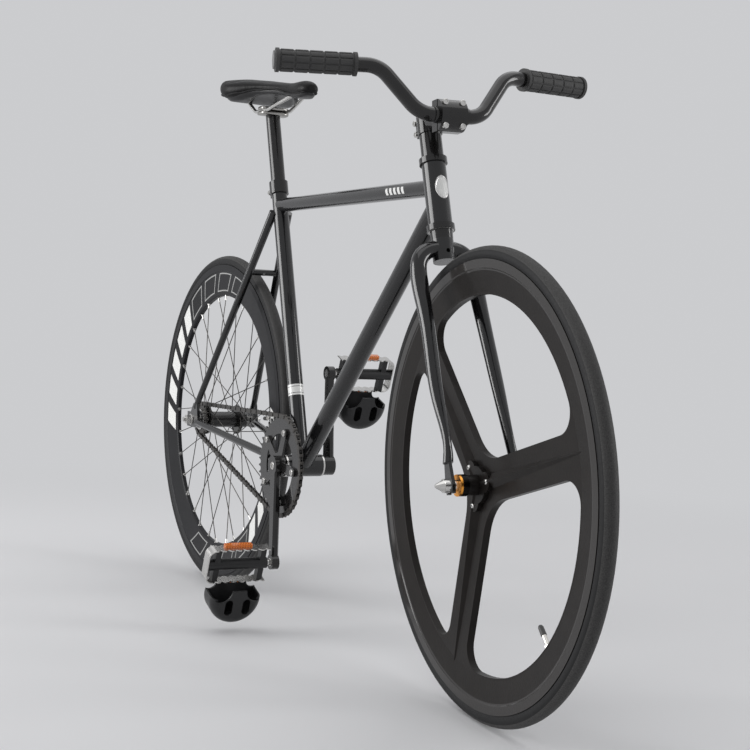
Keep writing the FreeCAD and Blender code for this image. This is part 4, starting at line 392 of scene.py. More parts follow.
def rim_marks(finish, centre):
    """Masks of the bold blocks and the thin frames."""
    angle, radius = finish.round_axle(centre, (0, 1, 0))[:2]
    leaned = angle + (radius - FLANK_MIDDLE) * MARK_LEAN
    flank = between(radius, FLANK_LOW, FLANK_HIGH)
    step, share = steps(leaned, BLOCK_STEPS)
    bold = (share < BLOCK_SHARE) * near(step, BLOCKS_AT) * flank
    step, share = steps(leaned, FRAME_STEPS)
    inset = FRAME_EDGE + FRAME_LINE_SHARE
    outer = between(share, FRAME_EDGE, 1 - FRAME_EDGE) * flank
    inner = between(share, inset, 1 - inset) * between(
        radius, FLANK_LOW + FRAME_LINE, FLANK_HIGH - FRAME_LINE)
    return bold, (outer - inner) * near(step, FRAMES_AT)


rear_axle = Vector(joints["rear_wheel_spin"]["pos_m"])
rim = dyed_alloy("deep rim, marked", (0.007, 0.007, 0.008), 0.34, 0.08)
blocks, frames = rim_marks(rim, rear_axle)
rim.feed("Base Color", rim.mix(blocks + frames * FRAME_STRENGTH, rim.tint, TRANSFER_WHITE))
rim.feed("Metallic", ALLOY_METAL - (blocks + frames) * ALLOY_METAL)
dress(rim, "rear_rim")

# %% [markdown]
# ## Bright and dark steel
# Nuts, bolts, rails, nipples and pedal cages are plated steel. Handled metal is never evenly
# bright, so its polish and its colour wander. Chain, spokes and cog are blackened: the same
# steel with a darker base and less polish. The hub caps are amber at their outer ends only.


# %% Finish the steel pieces
def steel(name, colour, rough, spread):
    """Plated steel with uneven polish."""
    plate = Finish(name, colour, Metallic=1)
    plate.polish(rough, spread, 180, 4)
    plate.mottle(50, colour, [channel * 0.72 for channel in colour])
    plate.bump(plate.noise(1200, 1), 0.00002)
    return plate


bright_steel = steel("bright plated steel", (0.72, 0.71, 0.69), 0.14, 0.18)
dress(
    bright_steel, "bottom_bracket_cups", "rear_axle", "rear_axle_nuts", "stem_bolts", "front_axle",
    "front_axle_nuts", "rear_nipples", "cog_lockring", "crankset_bolts", "pedal_spindles",
    "right_pedal_cage", "left_pedal_cage", "saddle_rails", "headset_bearings",
    "front_hub_bearings", "rear_hub_bearings",
)
dark_steel = steel("blackened steel", (0.10, 0.095, 0.09), 0.26, 0.20)
dress(dark_steel, "chain", "rear_spokes", "rear_cog", "bottom_bracket_spindle")

AMBER_FROM = 0.0395
hub_cap = steel("amber dyed alloy", (0.80, 0.36, 0.07), 0.20, 0.12)
amber_end = abs(hub_cap.along(front_spin["pos_m"], front_spin["axis"])) > AMBER_FROM
hub_cap.feed("Base Color", hub_cap.mix(amber_end, (0.010, 0.0095, 0.009), (0.85, 0.36, 0.06)))
dress(hub_cap, "front_hub_caps")

# %% [markdown]
# ## Tyres and tubes
# The tyres are slicks with a fine file tread on the crown and lightly ribbed side walls. A groove
# that thin would cost millions of faces as mesh, so a bump gives it: chevrons from the
# angle and the sideways place. The valve is the only part of a tube in sight, and it is metal.

# %% Finish the rubber
CROWN_RADIUS, WALL_RADIUS = 0.3285, 0.3215
CUTS_PER_RADIAN, CUT_SLANT, RIBS_PER_METRE = 82, 260, 620
VALVE_REACH, THREADS_PER_METRE = 0.300, 1000


def tyre_rubber(name, joint):
    """Matt black rubber with a chevron file tread."""
    rubber = Finish(name, (0.009, 0.009, 0.0095), Specular_IOR_Level=0.25)
    angle, radius, aside = rubber.round_axle(joint["pos_m"], joint["axis"])
    crown = radius > CROWN_RADIUS
    cut = ((angle * CUTS_PER_RADIAN + abs(aside) * CUT_SLANT) % 1) < 0.30
    ribs = (((radius * RIBS_PER_METRE) % 1) < 0.35) * (radius < WALL_RADIUS)
    rubber.polish(0.48, 0.22, 300)
    grit = crown * rubber.noise(650, 2)
    rubber.feed("Base Color", rubber.mix(grit, rubber.colour, (0.085, 0.083, 0.081)))
    rubber.bump(1 - cut * crown - ribs * 0.3 + rubber.noise(500) * 0.12, 0.0004)
    return rubber


def tube_rubber(name, joint):
    """Soft tube rubber, with a bright valve towards the hub."""
    tube = Finish(name, (0.03, 0.03, 0.03))
    radius = tube.round_axle(joint["pos_m"], joint["axis"])[1]
    metal = radius < VALVE_REACH
    thread = ((radius * THREADS_PER_METRE) % 1) < 0.5
    tube.feed("Base Color", tube.mix(metal, tube.colour, (0.75, 0.72, 0.66)))
    tube.feed("Metallic", metal)
    tube.feed("Roughness", 0.55 - metal * 0.30 + tube.noise(200) * 0.1)
    tube.bump(thread * metal, 0.0002)
    return tube


for wheel in ("front", "rear"):
    spin = joints[wheel + "_wheel_spin"]
    dress(tyre_rubber(wheel + " tyre rubber", spin), wheel + "_tyre")
    dress(tube_rubber(wheel + " tube rubber", spin), wheel + "_inner_tube")

# %% [markdown]
# ## Grips, clips and reflectors
# Soft grip rubber is greyer and duller than the plastic of the toe clips. The plastic has a
# moulded, slightly pebbled skin. A reflector is clear amber plastic over small raised pyramid
# shapes. A checked bump gives their relief, and checked light and dark amber in the colour is
# painted shade and glint on their faces.

# %% Finish the soft and moulded pieces
grip_rubber = Finish("grip rubber", (0.055, 0.054, 0.053))
grip_rubber.polish(0.55, 0.2, 240)
grip_rubber.mottle(40, (0.030, 0.030, 0.030), (0.052, 0.051, 0.050))
grip_rubber.bump(grip_rubber.noise(1100, 1), 0.00008)
dress(grip_rubber, "grips")

plug_rubber = Finish("end plug rubber", (0.16, 0.16, 0.16))
plug_rubber.polish(0.5, 0.2, 200)
plug_rubber.mottle(80, (0.14, 0.14, 0.14), (0.20, 0.20, 0.20))
dress(plug_rubber, "bar_end_plugs")

black_plastic = Finish("moulded black plastic", (0.009, 0.009, 0.0095), IOR=1.45)
black_plastic.polish(0.28, 0.2, 150)
black_plastic.mottle(30, (0.007, 0.007, 0.0075), (0.015, 0.015, 0.016))
black_plastic.bump(black_plastic.noise(800, 2), 0.00006)
dress(
    black_plastic, "saddle_shell", "right_toe_clip", "left_toe_clip", "right_pedal_body", "left_pedal_body",
)

amber_lens = Finish("amber reflector", (0.90, 0.22, 0.02), Coat_Weight=1, Coat_Roughness=0.03)
pyramid_relief_and_shade = amber_lens.add(
    "ShaderNodeTexChecker", {}, {"Vector": amber_lens.place, "Scale": 420.0}, out="Fac")
# Alternate squares are lighter and darker amber: painted shade and glint on the facets.
amber_lens.feed("Base Color", amber_lens.mix(pyramid_relief_and_shade, (0.95, 0.26, 0.02), (0.62, 0.11, 0.01)))
amber_lens.polish(0.12, 0.1, 200)
amber_lens.bump(pyramid_relief_and_shade, 0.0003)
dress(amber_lens, "right_pedal_reflectors", "left_pedal_reflectors")

# %% [markdown]
# ## A tree for things that repeat
# Bolt faces, grip blocks and eyelets are one small shape many times over. A
# Geometry Nodes tree places them from a few numbers, and its result is then made a plain mesh,
# because live instances don't leave Blender with the model.


# %% Build and settle a repeating pattern
def settled_mesh(holder):
    """The plain mesh that an object's modifiers or curve give."""
    return bpy.data.meshes.new_from_object(holder.evaluated_get(bpy.context.evaluated_depsgraph_get()))


class Pattern(Graph):
    """A Geometry Nodes tree with named inputs."""

    def __init__(self, name, **inputs):
        tree = bpy.data.node_groups.new(name, "GeometryNodeTree")
        super().__init__(tree)
        tree.interface.new_socket("Geometry", in_out="INPUT", socket_type="NodeSocketGeometry")
        for label, kind in inputs.items():
            tree.interface.new_socket(label, in_out="INPUT", socket_type="NodeSocket" + kind)
        tree.interface.new_socket("Geometry", in_out="OUTPUT", socket_type="NodeSocketGeometry")
        self.inlet = tree.nodes.new("NodeGroupInput")

    def given(self, label):
        return Term(self, self.inlet.outputs[label])

    def end(self, geometry, finish):
        whole = self.add("GeometryNodeRealizeInstances", {}, {"Geometry": geometry})
        painted = self.add("GeometryNodeSetMaterial", {}, {"Geometry": whole, "Material": finish.material})
        outlet = self.tree.nodes.new("NodeGroupOutput")
        self.tree.links.new(painted.socket, outlet.inputs[0])

    def settle(self, name, start, body, slot, **values):
        """Runs the tree on a start mesh and keeps the result as one plain piece."""
        piece = stand(name, start)
        modifier = piece.modifiers.new("pattern", "NODES")
        modifier.node_group = self.tree
        for item in self.tree.interface.items_tree:
            if item.in_out == "INPUT" and item.name in values:
                modifier[item.identifier] = values[item.name]
        mesh = settled_mesh(piece)
        piece.modifiers.remove(modifier)
        piece.data = mesh
        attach(piece, body)
        print(name, len(mesh.polygons), "faces")


# %% [markdown]
# ## Small turned shapes
# Bolt heads, eyelets and valves are turned on a lathe, and other small pieces come close to that.
# They are all rings of points joined into a skin. A ring may be round or have flats, like a nut
# or a hexagon socket, and a ring of a single point closes an end.


# %% Join rings into a solid
def solid_from(name, rings):
    """A mesh from rings of points with equal counts; a ring of one point is a pole."""
    builder = bmesh.new()
    rows = [[builder.verts.new(point) for point in ring] for ring in rings]
    for low, high in zip(rows, rows[1:]):
        count = max(len(low), len(high))
        for index in range(count):
            after = (index + 1) % count
            corners = [
                low[index % len(low)], low[after % len(low)],
                high[after % len(high)], high[index % len(high)],
            ]
            builder.faces.new(dict.fromkeys(corners))
    bmesh.ops.recalc_face_normals(builder, faces=builder.faces)
    mesh = bpy.data.meshes.new(name)
    builder.to_mesh(mesh)
    builder.free()
    return mesh


def circle(radius, height, count, flats=0):
    """A ring of points at one height; with flats it is a polygon."""
    ring = []
    for index in range(count):
        turn = math.tau * index / count
        reach = radius
        if flats:
            flat_angle = math.tau / flats
            reach = radius * math.cos(flat_angle / 2) / math.cos(turn % flat_angle - flat_angle / 2)
        ring.append((reach * math.cos(turn), reach * math.sin(turn), height))
    return ring


def turned(name, profile, count):
    """A unit shape from steps of radius, height and flats; a radius of 0 is a pole."""
    return solid_from(name, [
        circle(radius, height, count, flats) if radius else [(0, 0, height)]
        for radius, height, flats in profile
    ])


# %% [markdown]
# ## Bolt faces
# The bolts of the stem, the chainring and the seat collar are socket heads: a bevelled rim round a
# six-sided pocket. One face of unit radius is modelled, and the tree sets it on a point for each bolt,
# turned to the bolt's own direction. The points come from the solids, so the faces sit on their heads.

# %% Find the bolts
MERGE_DISTANCE = 1e-6
HEAD_SLICE, WIDE_HEAD_SHARE = 0.0012, 0.6


def merged_copy(node):
    """A node's mesh with its doubled corners merged, open for work."""
    builder = bmesh.new()
    builder.from_mesh(frame["nodes"][node].data)
    bmesh.ops.remove_doubles(builder, verts=builder.verts, dist=MERGE_DISTANCE)
    return builder


def islands(node):
    """The separate solids of a node, as arrays of points."""
    builder = merged_copy(node)
    builder.verts.ensure_lookup_table()
    seen = set()
    groups = []
    for vertex in builder.verts:
        if vertex.index in seen:
            continue
        seen.add(vertex.index)
        front = [vertex]
        group = []
        while front:
            here = front.pop()
            group.append(tuple(here.co))
            for edge in here.link_edges:
                other = edge.other_vert(here)
                if other.index not in seen:
                    seen.add(other.index)
                    front.append(other)
        groups.append(np.array(group))
    builder.free()
    return groups


def head_of(group):
    """Where a bolt's head ends, which way it faces and its radius."""
    spread = group.max(0) - group.min(0)
    direction = np.array(spine(group)[1])
    if spread[1] < WIDE_HEAD_SHARE * min(spread[0], spread[2]):
        direction = np.array((0.0, 1.0, 0.0))
    along = group @ direction
    ends = []
    for sign in (1, -1):
        ring = group[sign * along > (sign * along).max() - HEAD_SLICE]
        centre = (ring.max(0) + ring.min(0)) / 2
        size = np.linalg.norm(ring - centre, axis=1).max()
        ends.append((round(size, 4), abs(centre[1]), Vector(centre)))
    ends.sort(key=lambda end: end[:2])
    facing = (ends[1][2] - ends[0][2]).normalized()
    flat = (group @ np.array(facing)).max() - ends[1][2].dot(facing)
    return ends[1][2] + facing * flat, facing, ends[1][0]


# %% Set a shape on every spot
pattern_shapes = []


def pattern_shape(mesh):
    """An object that a tree copies; it goes again at the end."""
    pattern_shapes.append(stand(mesh.name, mesh))
    return pattern_shapes[-1]


def spots_mesh(name, spots):
    """Loose points that carry a direction and a size each."""
    mesh = bpy.data.meshes.new(name)
    mesh.from_pydata([spot[0] for spot in spots], [], [])
    facing = mesh.attributes.new("facing", "FLOAT_VECTOR", "POINT")
    facing.data.foreach_set("vector", [c for spot in spots for c in spot[1]])
    reach = mesh.attributes.new("reach", "FLOAT", "POINT")
    reach.data.foreach_set("value", [spot[2] for spot in spots])
    return mesh


def facing_pattern(name, finish):
    """Copies a shape to every spot, turned to face outwards."""
    pattern = Pattern(name, Shape="Object")
    shape = pattern.add("GeometryNodeObjectInfo", {}, {"Object": pattern.given("Shape")}, out="Geometry")
    facing = pattern.add(
        "GeometryNodeInputNamedAttribute", {"data_type": "FLOAT_VECTOR"}, {"Name": "facing"})
    reach = pattern.add("GeometryNodeInputNamedAttribute", {"data_type": "FLOAT"}, {"Name": "reach"})
    turn = pattern.add("FunctionNodeAlignRotationToVector", {"axis": "Z"}, {"Vector": facing})
    copies = pattern.add("GeometryNodeInstanceOnPoints", {}, {
        "Points": pattern.given("Geometry"), "Instance": shape, "Rotation": turn, "Scale": reach})
    pattern.end(copies, finish)
    return pattern


steel_spots = facing_pattern("steel spots", bright_steel)

# %% Face the bolts
ROUND_SIDES, SOCKET_FLATS = 24, 6
BOLT_FACE = [
    (0, -0.05, 0), (0.97, -0.05, 0), (0.97, 0.10, 0), (0.84, 0.20, 0),
    (0.62, 0.20, SOCKET_FLATS), (0.58, 0.03, SOCKET_FLATS), (0, 0.02, 0),
]
bolt_face = pattern_shape(turned("bolt face", BOLT_FACE, ROUND_SIDES))
bolts = {
    ("stem_bolt_faces", "fork"): islands("stem_bolts"),
    ("crank_bolt_faces", "crankset"): islands("crankset_bolts"),
    ("collar_bolt_face", "frame"): [min(islands("seat_collar"), key=len)],
}
for (piece_name, body), groups in bolts.items():
    heads = spots_mesh(piece_name, [head_of(group) for group in groups])
    steel_spots.settle(piece_name, heads, body, "bright_steel", Shape=bolt_face)

# %% [markdown]
# ## Bolts round the front hub
# Small bolts sit on the hub of the cast wheel, one near the end of each lobe, and the far side
# is taken as the same. A button head is a low dome with a socket in it. Six points about the
# axle are enough for the same tree, and the lobes are found from the wheel's own corners.

# %% Set the hub bolts
LOBE_FACE, LOBE_END, LOBE_WIDTH, FACE_SLACK = 0.013, 0.0385, 0.03, 0.0002
HUB_BOLT_REACH, HUB_BOLT_RADIUS = 0.0315, 0.0038
BUTTON_HEAD = [
    (0, -0.1, 0), (1, -0.1, 0), (1, 0.15, 0), (0.86, 0.45, 0), (0.62, 0.62, 0),
    (0.46, 0.64, SOCKET_FLATS), (0.44, 0.25, SOCKET_FLATS), (0, 0.22, 0),
]


def about_axle(points, centre, axle):
    """Points as sideways places, flat offsets and radii about an axle."""
    offset = points - np.array(centre)
    aside = offset @ np.array(axle)
    flat = offset - np.outer(aside, axle)
    return aside, flat, np.linalg.norm(flat, axis=1)


def lobe_directions(centre, axle):
    """Which way each lobe of the hub points."""
    aside, flat, reach = about_axle(points_of("front_wheel"), centre, axle)
    ends = flat[(abs(abs(aside) - LOBE_FACE) < FACE_SLACK) & (reach > LOBE_END)]
    directions = []
    while len(ends):
        close = np.linalg.norm(ends - ends[0], axis=1) < LOBE_WIDTH
        directions.append(Vector(ends[close].mean(0)).normalized())
        ends = ends[~close]
    return directions


hub_centre = Vector(front_spin["pos_m"])
hub_axle = Vector(front_spin["axis"]).normalized()
hub_bolts = [
    (hub_centre + outward * HUB_BOLT_REACH + hub_axle * sign * LOBE_FACE, hub_axle * sign, HUB_BOLT_RADIUS)
    for outward in lobe_directions(hub_centre, hub_axle) for sign in (1, -1)
]
button_head = pattern_shape(turned("button head", BUTTON_HEAD, ROUND_SIDES))
steel_spots.settle(
    "hub_bolt_heads", spots_mesh("hub bolts", hub_bolts), "front_wheel", "bright_steel", Shape=button_head)

# %% [markdown]
# ## Eyelets in the deep rim
# Each nipple comes out of the rim through a small pressed ring. The rings follow the
# nipples: the line through each one meets the rim's inner face at a known radius, and the
# same facing tree sets a ring there.

# %% Set the eyelets
REAR_RIM_INSIDE = 0.2535
EYELET_RADIUS, EYELET_SIDES = 0.0034, 10
EYELET = [(1, -0.1, 0), (0.95, 0.14, 0), (0.70, 0.16, 0), (0.66, -0.1, 0), (1, -0.1, 0)]


def eyelet_spot(group):
    """Where a nipple's line meets the inside of the rim."""
    middle, direction = spine(group)
    inward = rear_axle - middle
    inward.y = 0
    if direction.dot(inward) < 0:
        direction = -direction
    step = (inward.length - REAR_RIM_INSIDE) / direction.dot(inward.normalized())
    return middle + direction * step, direction, EYELET_RADIUS


eyelet = pattern_shape(turned("eyelet", EYELET, EYELET_SIDES))
eyelets = spots_mesh("eyelets", [eyelet_spot(group) for group in islands("rear_nipples")])
steel_spots.settle("rim_eyelets", eyelets, "rear_wheel", "bright_steel", Shape=eyelet)

# %% [markdown]
# ## Grip blocks
# The grips have square rubber blocks in rows round the sleeve. One curved block is
# modelled about the Z axis; the tree turns it round the axis and steps it along, from a few
# numbers, and then lays the whole sleeve on the grip's own axis.

# %% Model one block
GRIP_RADIUS, BLOCK_RISE, BLOCK_LENGTH = 0.01525, 0.0012, 0.0188
BLOCK_HALF_ANGLE = math.radians(14.5)
BLOCK_PROFILE = ((0, -0.3), (0, 0.7), (0.06, 1), (0.94, 1), (1, 0.7), (1, -0.3))
BLOCK_CUTS, BLOCK_EDGE = 4, 0.75


def curved_block(name):
    """A small raised block on a round sleeve."""
    across = GRIP_RADIUS * math.sin(BLOCK_HALF_ANGLE)
    out = GRIP_RADIUS * math.cos(BLOCK_HALF_ANGLE)
    rings = [[(out, -across, BLOCK_LENGTH / 2)]]
    for cut in range(BLOCK_CUTS + 1):
        turn = BLOCK_HALF_ANGLE * (2 * cut / BLOCK_CUTS - 1)
        edge = BLOCK_EDGE if cut in (0, BLOCK_CUTS) else 1
        ring = []
        for place, lift in BLOCK_PROFILE:
            reach = GRIP_RADIUS + BLOCK_RISE * (lift * edge if lift > 0 else lift)
            ring.append((reach * math.cos(turn), reach * math.sin(turn), place * BLOCK_LENGTH))
        rings.append(ring)
    rings.append([(out, across, BLOCK_LENGTH / 2)])
    return solid_from(name, rings)


grip_block = pattern_shape(curved_block("grip block"))


# %% Lay the blocks on the grips
def sleeve_pattern():
    """Rows of blocks round a sleeve, stepped along it and laid on a line."""
    sleeve = Pattern(
        "grip sleeve", Block="Object", Rows="Int", Columns="Int", Pitch="Float", Start="Vector",
        Turn="Vector")
    rows = sleeve.given("Rows")
    count = rows * sleeve.given("Columns")
    line = sleeve.add("GeometryNodeMeshLine", {}, {"Count": count, "Offset": (0, 0, 0)})
    index = sleeve.add("GeometryNodeInputIndex")
    column = (index / rows).floor()
    lift = sleeve.add("ShaderNodeCombineXYZ", {}, {"Z": column * sleeve.given("Pitch")})
    spread = sleeve.add("GeometryNodeSetPosition", {}, {"Geometry": line, "Offset": lift})
    turn = sleeve.add("ShaderNodeCombineXYZ", {}, {"Z": (index % rows) * math.tau / rows})
    block = sleeve.add("GeometryNodeObjectInfo", {}, {"Object": sleeve.given("Block")}, out="Geometry")
    laid = sleeve.add("GeometryNodeInstanceOnPoints", {}, {
        "Points": spread, "Instance": block, "Rotation": turn})
    lined_up = sleeve.add("GeometryNodeTransform", {}, {
        "Geometry": laid, "Translation": sleeve.given("Start"), "Rotation": sleeve.given("Turn")})
    sleeve.end(lined_up, grip_rubber)
    return sleeve


GRIP_COLLAR, SLEEVE_MARGIN = 0.005, 0.001
BLOCK_ROWS, BLOCK_COLUMNS = 10, 5
grip_sleeve = sleeve_pattern()
grip_points = points_of("grips")
for side, sign in (("right", -1), ("left", 1)):
    own = grip_points[grip_points[:, 1] * sign > 0]
    middle, direction = spine(own)
    if direction.y * sign < 0:
        direction = -direction
    along = (own - np.array(middle)) @ np.array(direction)
    low = along.min() + GRIP_COLLAR + SLEEVE_MARGIN
    high = along.max() - GRIP_COLLAR - SLEEVE_MARGIN
    pitch = (high - low) / BLOCK_COLUMNS
    print(side, "sleeve from", round(low, 4), "to", round(high, 4), "pitch", round(pitch, 4))
    grip_sleeve.settle(
        side + "_grip_blocks", bpy.data.meshes.new(side + " sleeve"), "fork", "grip_rubber",
        Block=grip_block, Rows=BLOCK_ROWS, Columns=BLOCK_COLUMNS, Pitch=pitch,
        Start=middle + direction * (low + (pitch - BLOCK_LENGTH) / 2),
        Turn=direction.to_track_quat("Z", "Y").to_euler(),
    )

# %% [markdown]
# ## The badge plate
# A small oval plate sits on the front of the head tube. It is a domed disc bent round the
# tube: every ring of it is laid on the tube's radius by its angle, so it hugs the paint. A
# plain enamelled face inside a bright border keeps it free of any sign.

# %% Make the badge plate
BADGE_HEIGHT, BADGE_HALF_TALL, BADGE_HALF_WIDE = 0.456, 0.0185, 0.0115
BADGE_SIDES, BADGE_BORDER = 40, 0.69
BADGE_RINGS = (
    (0, -0.0008), (0.97, -0.0008), (1, 0.0005), (0.96, 0.0012),
    (0.86, 0.0012), (0.82, 0.0007), (0.5, 0.0010), (0, 0.0012),
)

steer_foot = Vector(joints["steering"]["pos_m"])
steer_up = Vector(joints["steering"]["axis"])
across_bike = Vector((0, 1, 0))
head_front = across_bike.cross(steer_up)
head_radius = about_axle(points_of("head_tube"), steer_foot, steer_up)[2].max()
badge_middle = steer_foot + steer_up * BADGE_HEIGHT


def badge_ring(share, lift):
    """One oval ring of the plate, bent round the head tube."""
    ring = []
    for side in range(BADGE_SIDES if share else 1):
        turn = math.tau * side / BADGE_SIDES
        around = share * BADGE_HALF_WIDE * math.cos(turn) / head_radius
        climb = share * BADGE_HALF_TALL * math.sin(turn)
        out = head_front * math.cos(around) + across_bike * math.sin(around)
        ring.append(badge_middle + steer_up * climb + out * (head_radius + lift))
    return ring


enamel = Finish("badge enamel", (0.80, 0.80, 0.78), Coat_Weight=1, Coat_Roughness=0.05)
tall = enamel.along(badge_middle, steer_up) / BADGE_HALF_TALL
wide = enamel.along(badge_middle, across_bike) / BADGE_HALF_WIDE
border = (tall * tall + wide * wide) > BADGE_BORDER
enamel.feed("Base Color", enamel.mix(border, enamel.colour, (0.62, 0.61, 0.60)))
enamel.feed("Metallic", border)
enamel.polish(0.25, 0.1, 300)
badge_mesh = solid_from("badge plate", [badge_ring(share, lift) for share, lift in BADGE_RINGS])
coat(badge_mesh, enamel)
badge = stand("head_badge_plate", badge_mesh)
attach(badge, "frame")
print("head tube radius", round(head_radius, 4), "badge faces", len(badge_mesh.polygons))

# %% [markdown]
# ## The saddle cover
# The saddle is a foam pad under tight, shiny synthetic leather. The solid pad is copied,
# remeshed and drawn in a little, and a short cloth run with air pressure swells it, so the top
# crowns and the edges turn soft. How far a point may move is capped: the cover is tight.

# %% Copy the pad as an even skin
SKIN_GRID, SKIN_SMOOTHING, SKIN_INSET = 0.004, 3, 0.0012


def settle_in_place(holder):
    """Turns an object's modifiers into its plain mesh."""
    mesh = settled_mesh(holder)
    holder.modifiers.clear()
    holder.data = mesh


builder = merged_copy("saddle_padding")
pad_mesh = bpy.data.meshes.new("saddle cover")
builder.to_mesh(pad_mesh)
builder.free()
saddle = stand("saddle_cover", pad_mesh)
remesh = saddle.modifiers.new("even skin", "REMESH")
remesh.mode = "VOXEL"
remesh.voxel_size = SKIN_GRID
settle_in_place(saddle)

builder = bmesh.new()
builder.from_mesh(saddle.data)
for _ in range(SKIN_SMOOTHING):
    bmesh.ops.smooth_vert(
        builder, verts=builder.verts, factor=0.5, use_axis_x=True, use_axis_y=True, use_axis_z=True)
builder.normal_update()
for vertex in builder.verts:
    vertex.co -= vertex.normal * SKIN_INSET
builder.to_mesh(saddle.data)
builder.free()
print("saddle skin", len(saddle.data.vertices), "points")

# %% Swell the cover
PUFF_CAP, PUFF_STEPS, PUFF_PRESSURE, PUFF_STIFFNESS = 0.005, 20, 4, 15
UNDERSIDE_TILT = -0.45


def skin_points():
    """The corners of the saddle's cover as it is now."""
    return np.array([vertex.co for vertex in saddle.data.vertices])


before = skin_points()
underside = saddle.vertex_groups.new(name="underside")
underside.add([v.index for v in saddle.data.vertices if v.normal.z < UNDERSIDE_TILT], 1, "REPLACE")
cloth = saddle.modifiers.new("air", "CLOTH")
cloth.settings.vertex_group_mass = "underside"
cloth.settings.use_pressure = True
cloth.settings.uniform_pressure_force = PUFF_PRESSURE
cloth.settings.tension_stiffness = PUFF_STIFFNESS
cloth.settings.effector_weights.gravity = 0
for step in range(1, PUFF_STEPS + 1):
    scene.frame_set(step)
settle_in_place(saddle)
move = skin_points() - before
length = np.linalg.norm(move, axis=1, keepdims=True)
move *= np.minimum(1, PUFF_CAP / np.maximum(length, 1e-9))
saddle.data.vertices.foreach_set("co", (before + move).ravel())
scene.frame_set(1)
print("cover moved up to", round(float(length.max()), 4), "m, kept to", PUFF_CAP)
pad_points = skin_points()
base_mesh = saddle.data.copy()

# %% Finish the cover
finer = saddle.modifiers.new("finer skin", "SUBSURF")
finer.levels = finer.render_levels = 1
settle_in_place(saddle)
saddle.vertex_groups.clear()

leather = Finish(
    "shiny synthetic leather", (0.006, 0.006, 0.0065), Coat_Weight=0.1, Coat_Roughness=0.3,
    Specular_IOR_Level=BLACK_SHEEN)
pores = leather.add("ShaderNodeTexVoronoi", {}, {"Vector": leather.place, "Scale": 520.0})
leather.polish(0.36, 0.16, 120)
leather.mottle(25, (0.004, 0.004, 0.0045), (0.010, 0.0095, 0.0095))
leather.bump(pores + leather.noise(60) * 0.6, 0.00022)
coat(saddle.data, leather, smooth=True)
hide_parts("saddle_padding")
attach(saddle, "seat")
dressed.add("saddle_padding")
print("saddle cover", len(saddle.data.polygons), "faces")

# %% [markdown]
# ## The saddle's base and edge roll
# Under the cover sits a moulded base that follows the same outline a little further in and
# lower, so it is drawn from the cover's own mesh. Where the cover turns under, its edge is
# rolled: a thin cord of leather that follows the lowest outer points of the cover all the way round.

# %% Make the base
BASE_LONG, BASE_WIDE, BASE_DROP = 0.95, 0.88, 0.006
base_points = pad_points.copy()
base_middle = (pad_points.max(0) + pad_points.min(0)) / 2
base_points[:, 0] = base_middle[0] + (pad_points[:, 0] - base_middle[0]) * BASE_LONG
base_points[:, 1] *= BASE_WIDE
base_points[:, 2] -= BASE_DROP
base_mesh.vertices.foreach_set("co", base_points.ravel())
coat(base_mesh, black_plastic, smooth=True)
saddle_base = stand("saddle_base", base_mesh)
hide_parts("saddle_shell")
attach(saddle_base, "seat")
print("saddle base", len(base_mesh.polygons), "faces")

# %% Roll the edge
ROLL_RADIUS, ROLL_POINTS, ROLL_ENDS, ROLL_SLICE = 0.0016, 26, 0.012, 0.0045
OUTWARD_PULL, DOWNWARD_PULL = 0.72, 0.70


def lowest_edge(sign):
    """Points along one side of the cover, where it turns under."""
    low, high = pad_points[:, 0].min(), pad_points[:, 0].max()
    edge = []
    for share in np.linspace(ROLL_ENDS, 1 - ROLL_ENDS, ROLL_POINTS):
        x = low + (high - low) * share
        ring = pad_points[(abs(pad_points[:, 0] - x) < ROLL_SLICE) & (pad_points[:, 1] * sign >= 0)]
        best = ring[np.argmax(abs(ring[:, 1]) * OUTWARD_PULL - ring[:, 2] * DOWNWARD_PULL)]
        edge.append((x, best[1], best[2]))
    return edge


roll_path = lowest_edge(-1) + lowest_edge(1)[::-1]
roll_curve = bpy.data.curves.new("edge roll", "CURVE")
roll_curve.dimensions = "3D"
roll_curve.bevel_depth = ROLL_RADIUS
roll_curve.bevel_resolution = 3
spline = roll_curve.splines.new("NURBS")
spline.points.add(len(roll_path) - 1)
for point, place in zip(spline.points, roll_path):
    point.co = (*place, 1)
spline.order_u = 4
spline.use_cyclic_u = True
spline.resolution_u = 6
roll_cord = stand("edge roll", roll_curve)
roll_mesh = settled_mesh(roll_cord)
bpy.data.objects.remove(roll_cord)
coat(roll_mesh, leather, smooth=True)
roll = stand("saddle_edge_roll", roll_mesh)
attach(roll, "seat")
print("edge roll", len(roll_mesh.polygons), "faces")

# %% [markdown]
# ## The seat clamp
# Two jaws hold the rails on top of the seatpost, drawn together by one upright bolt. Cast jaws
# are rounded like barrels, so each is a row of soft-cornered rings along the width, a
# little smaller at the ends. The bolt's head stands on the upper jaw as a small bevelled drum.

# %% Make the clamp's jaws
RAIL_RISE = 0.0090
JAW_SIDES, JAW_SOFTNESS = 28, 2 / 3.2
JAWS = ((-0.0046, 0.0165, 0.0044), (0.0043, 0.0140, 0.0041))
JAW_RINGS = ((-1, 0.72), (-0.94, 0.95), (-0.55, 1), (0.55, 1), (0.94, 0.95), (1, 0.72))
CLAMP_BOLT_DROP = 0.0008
CLAMP_BOLT = [(0, 0.0086, 0), (0.0055, 0.0086, 0), (0.0055, 0.0135, 0), (0.0045, 0.0142, 0), (0, 0.0142, 0)]


def jaw_ring(middle, half_long, half_high, across):
    """A soft-cornered ring in the plane along the bike."""
    ring = []
    for side in range(JAW_SIDES):
        turn = math.tau * side / JAW_SIDES
        bend = [math.copysign(abs(part) ** JAW_SOFTNESS, part) for part in (math.cos(turn), math.sin(turn))]
        ring.append((middle.x + half_long * bend[0], across, middle.z + half_high * bend[1]))
    return ring


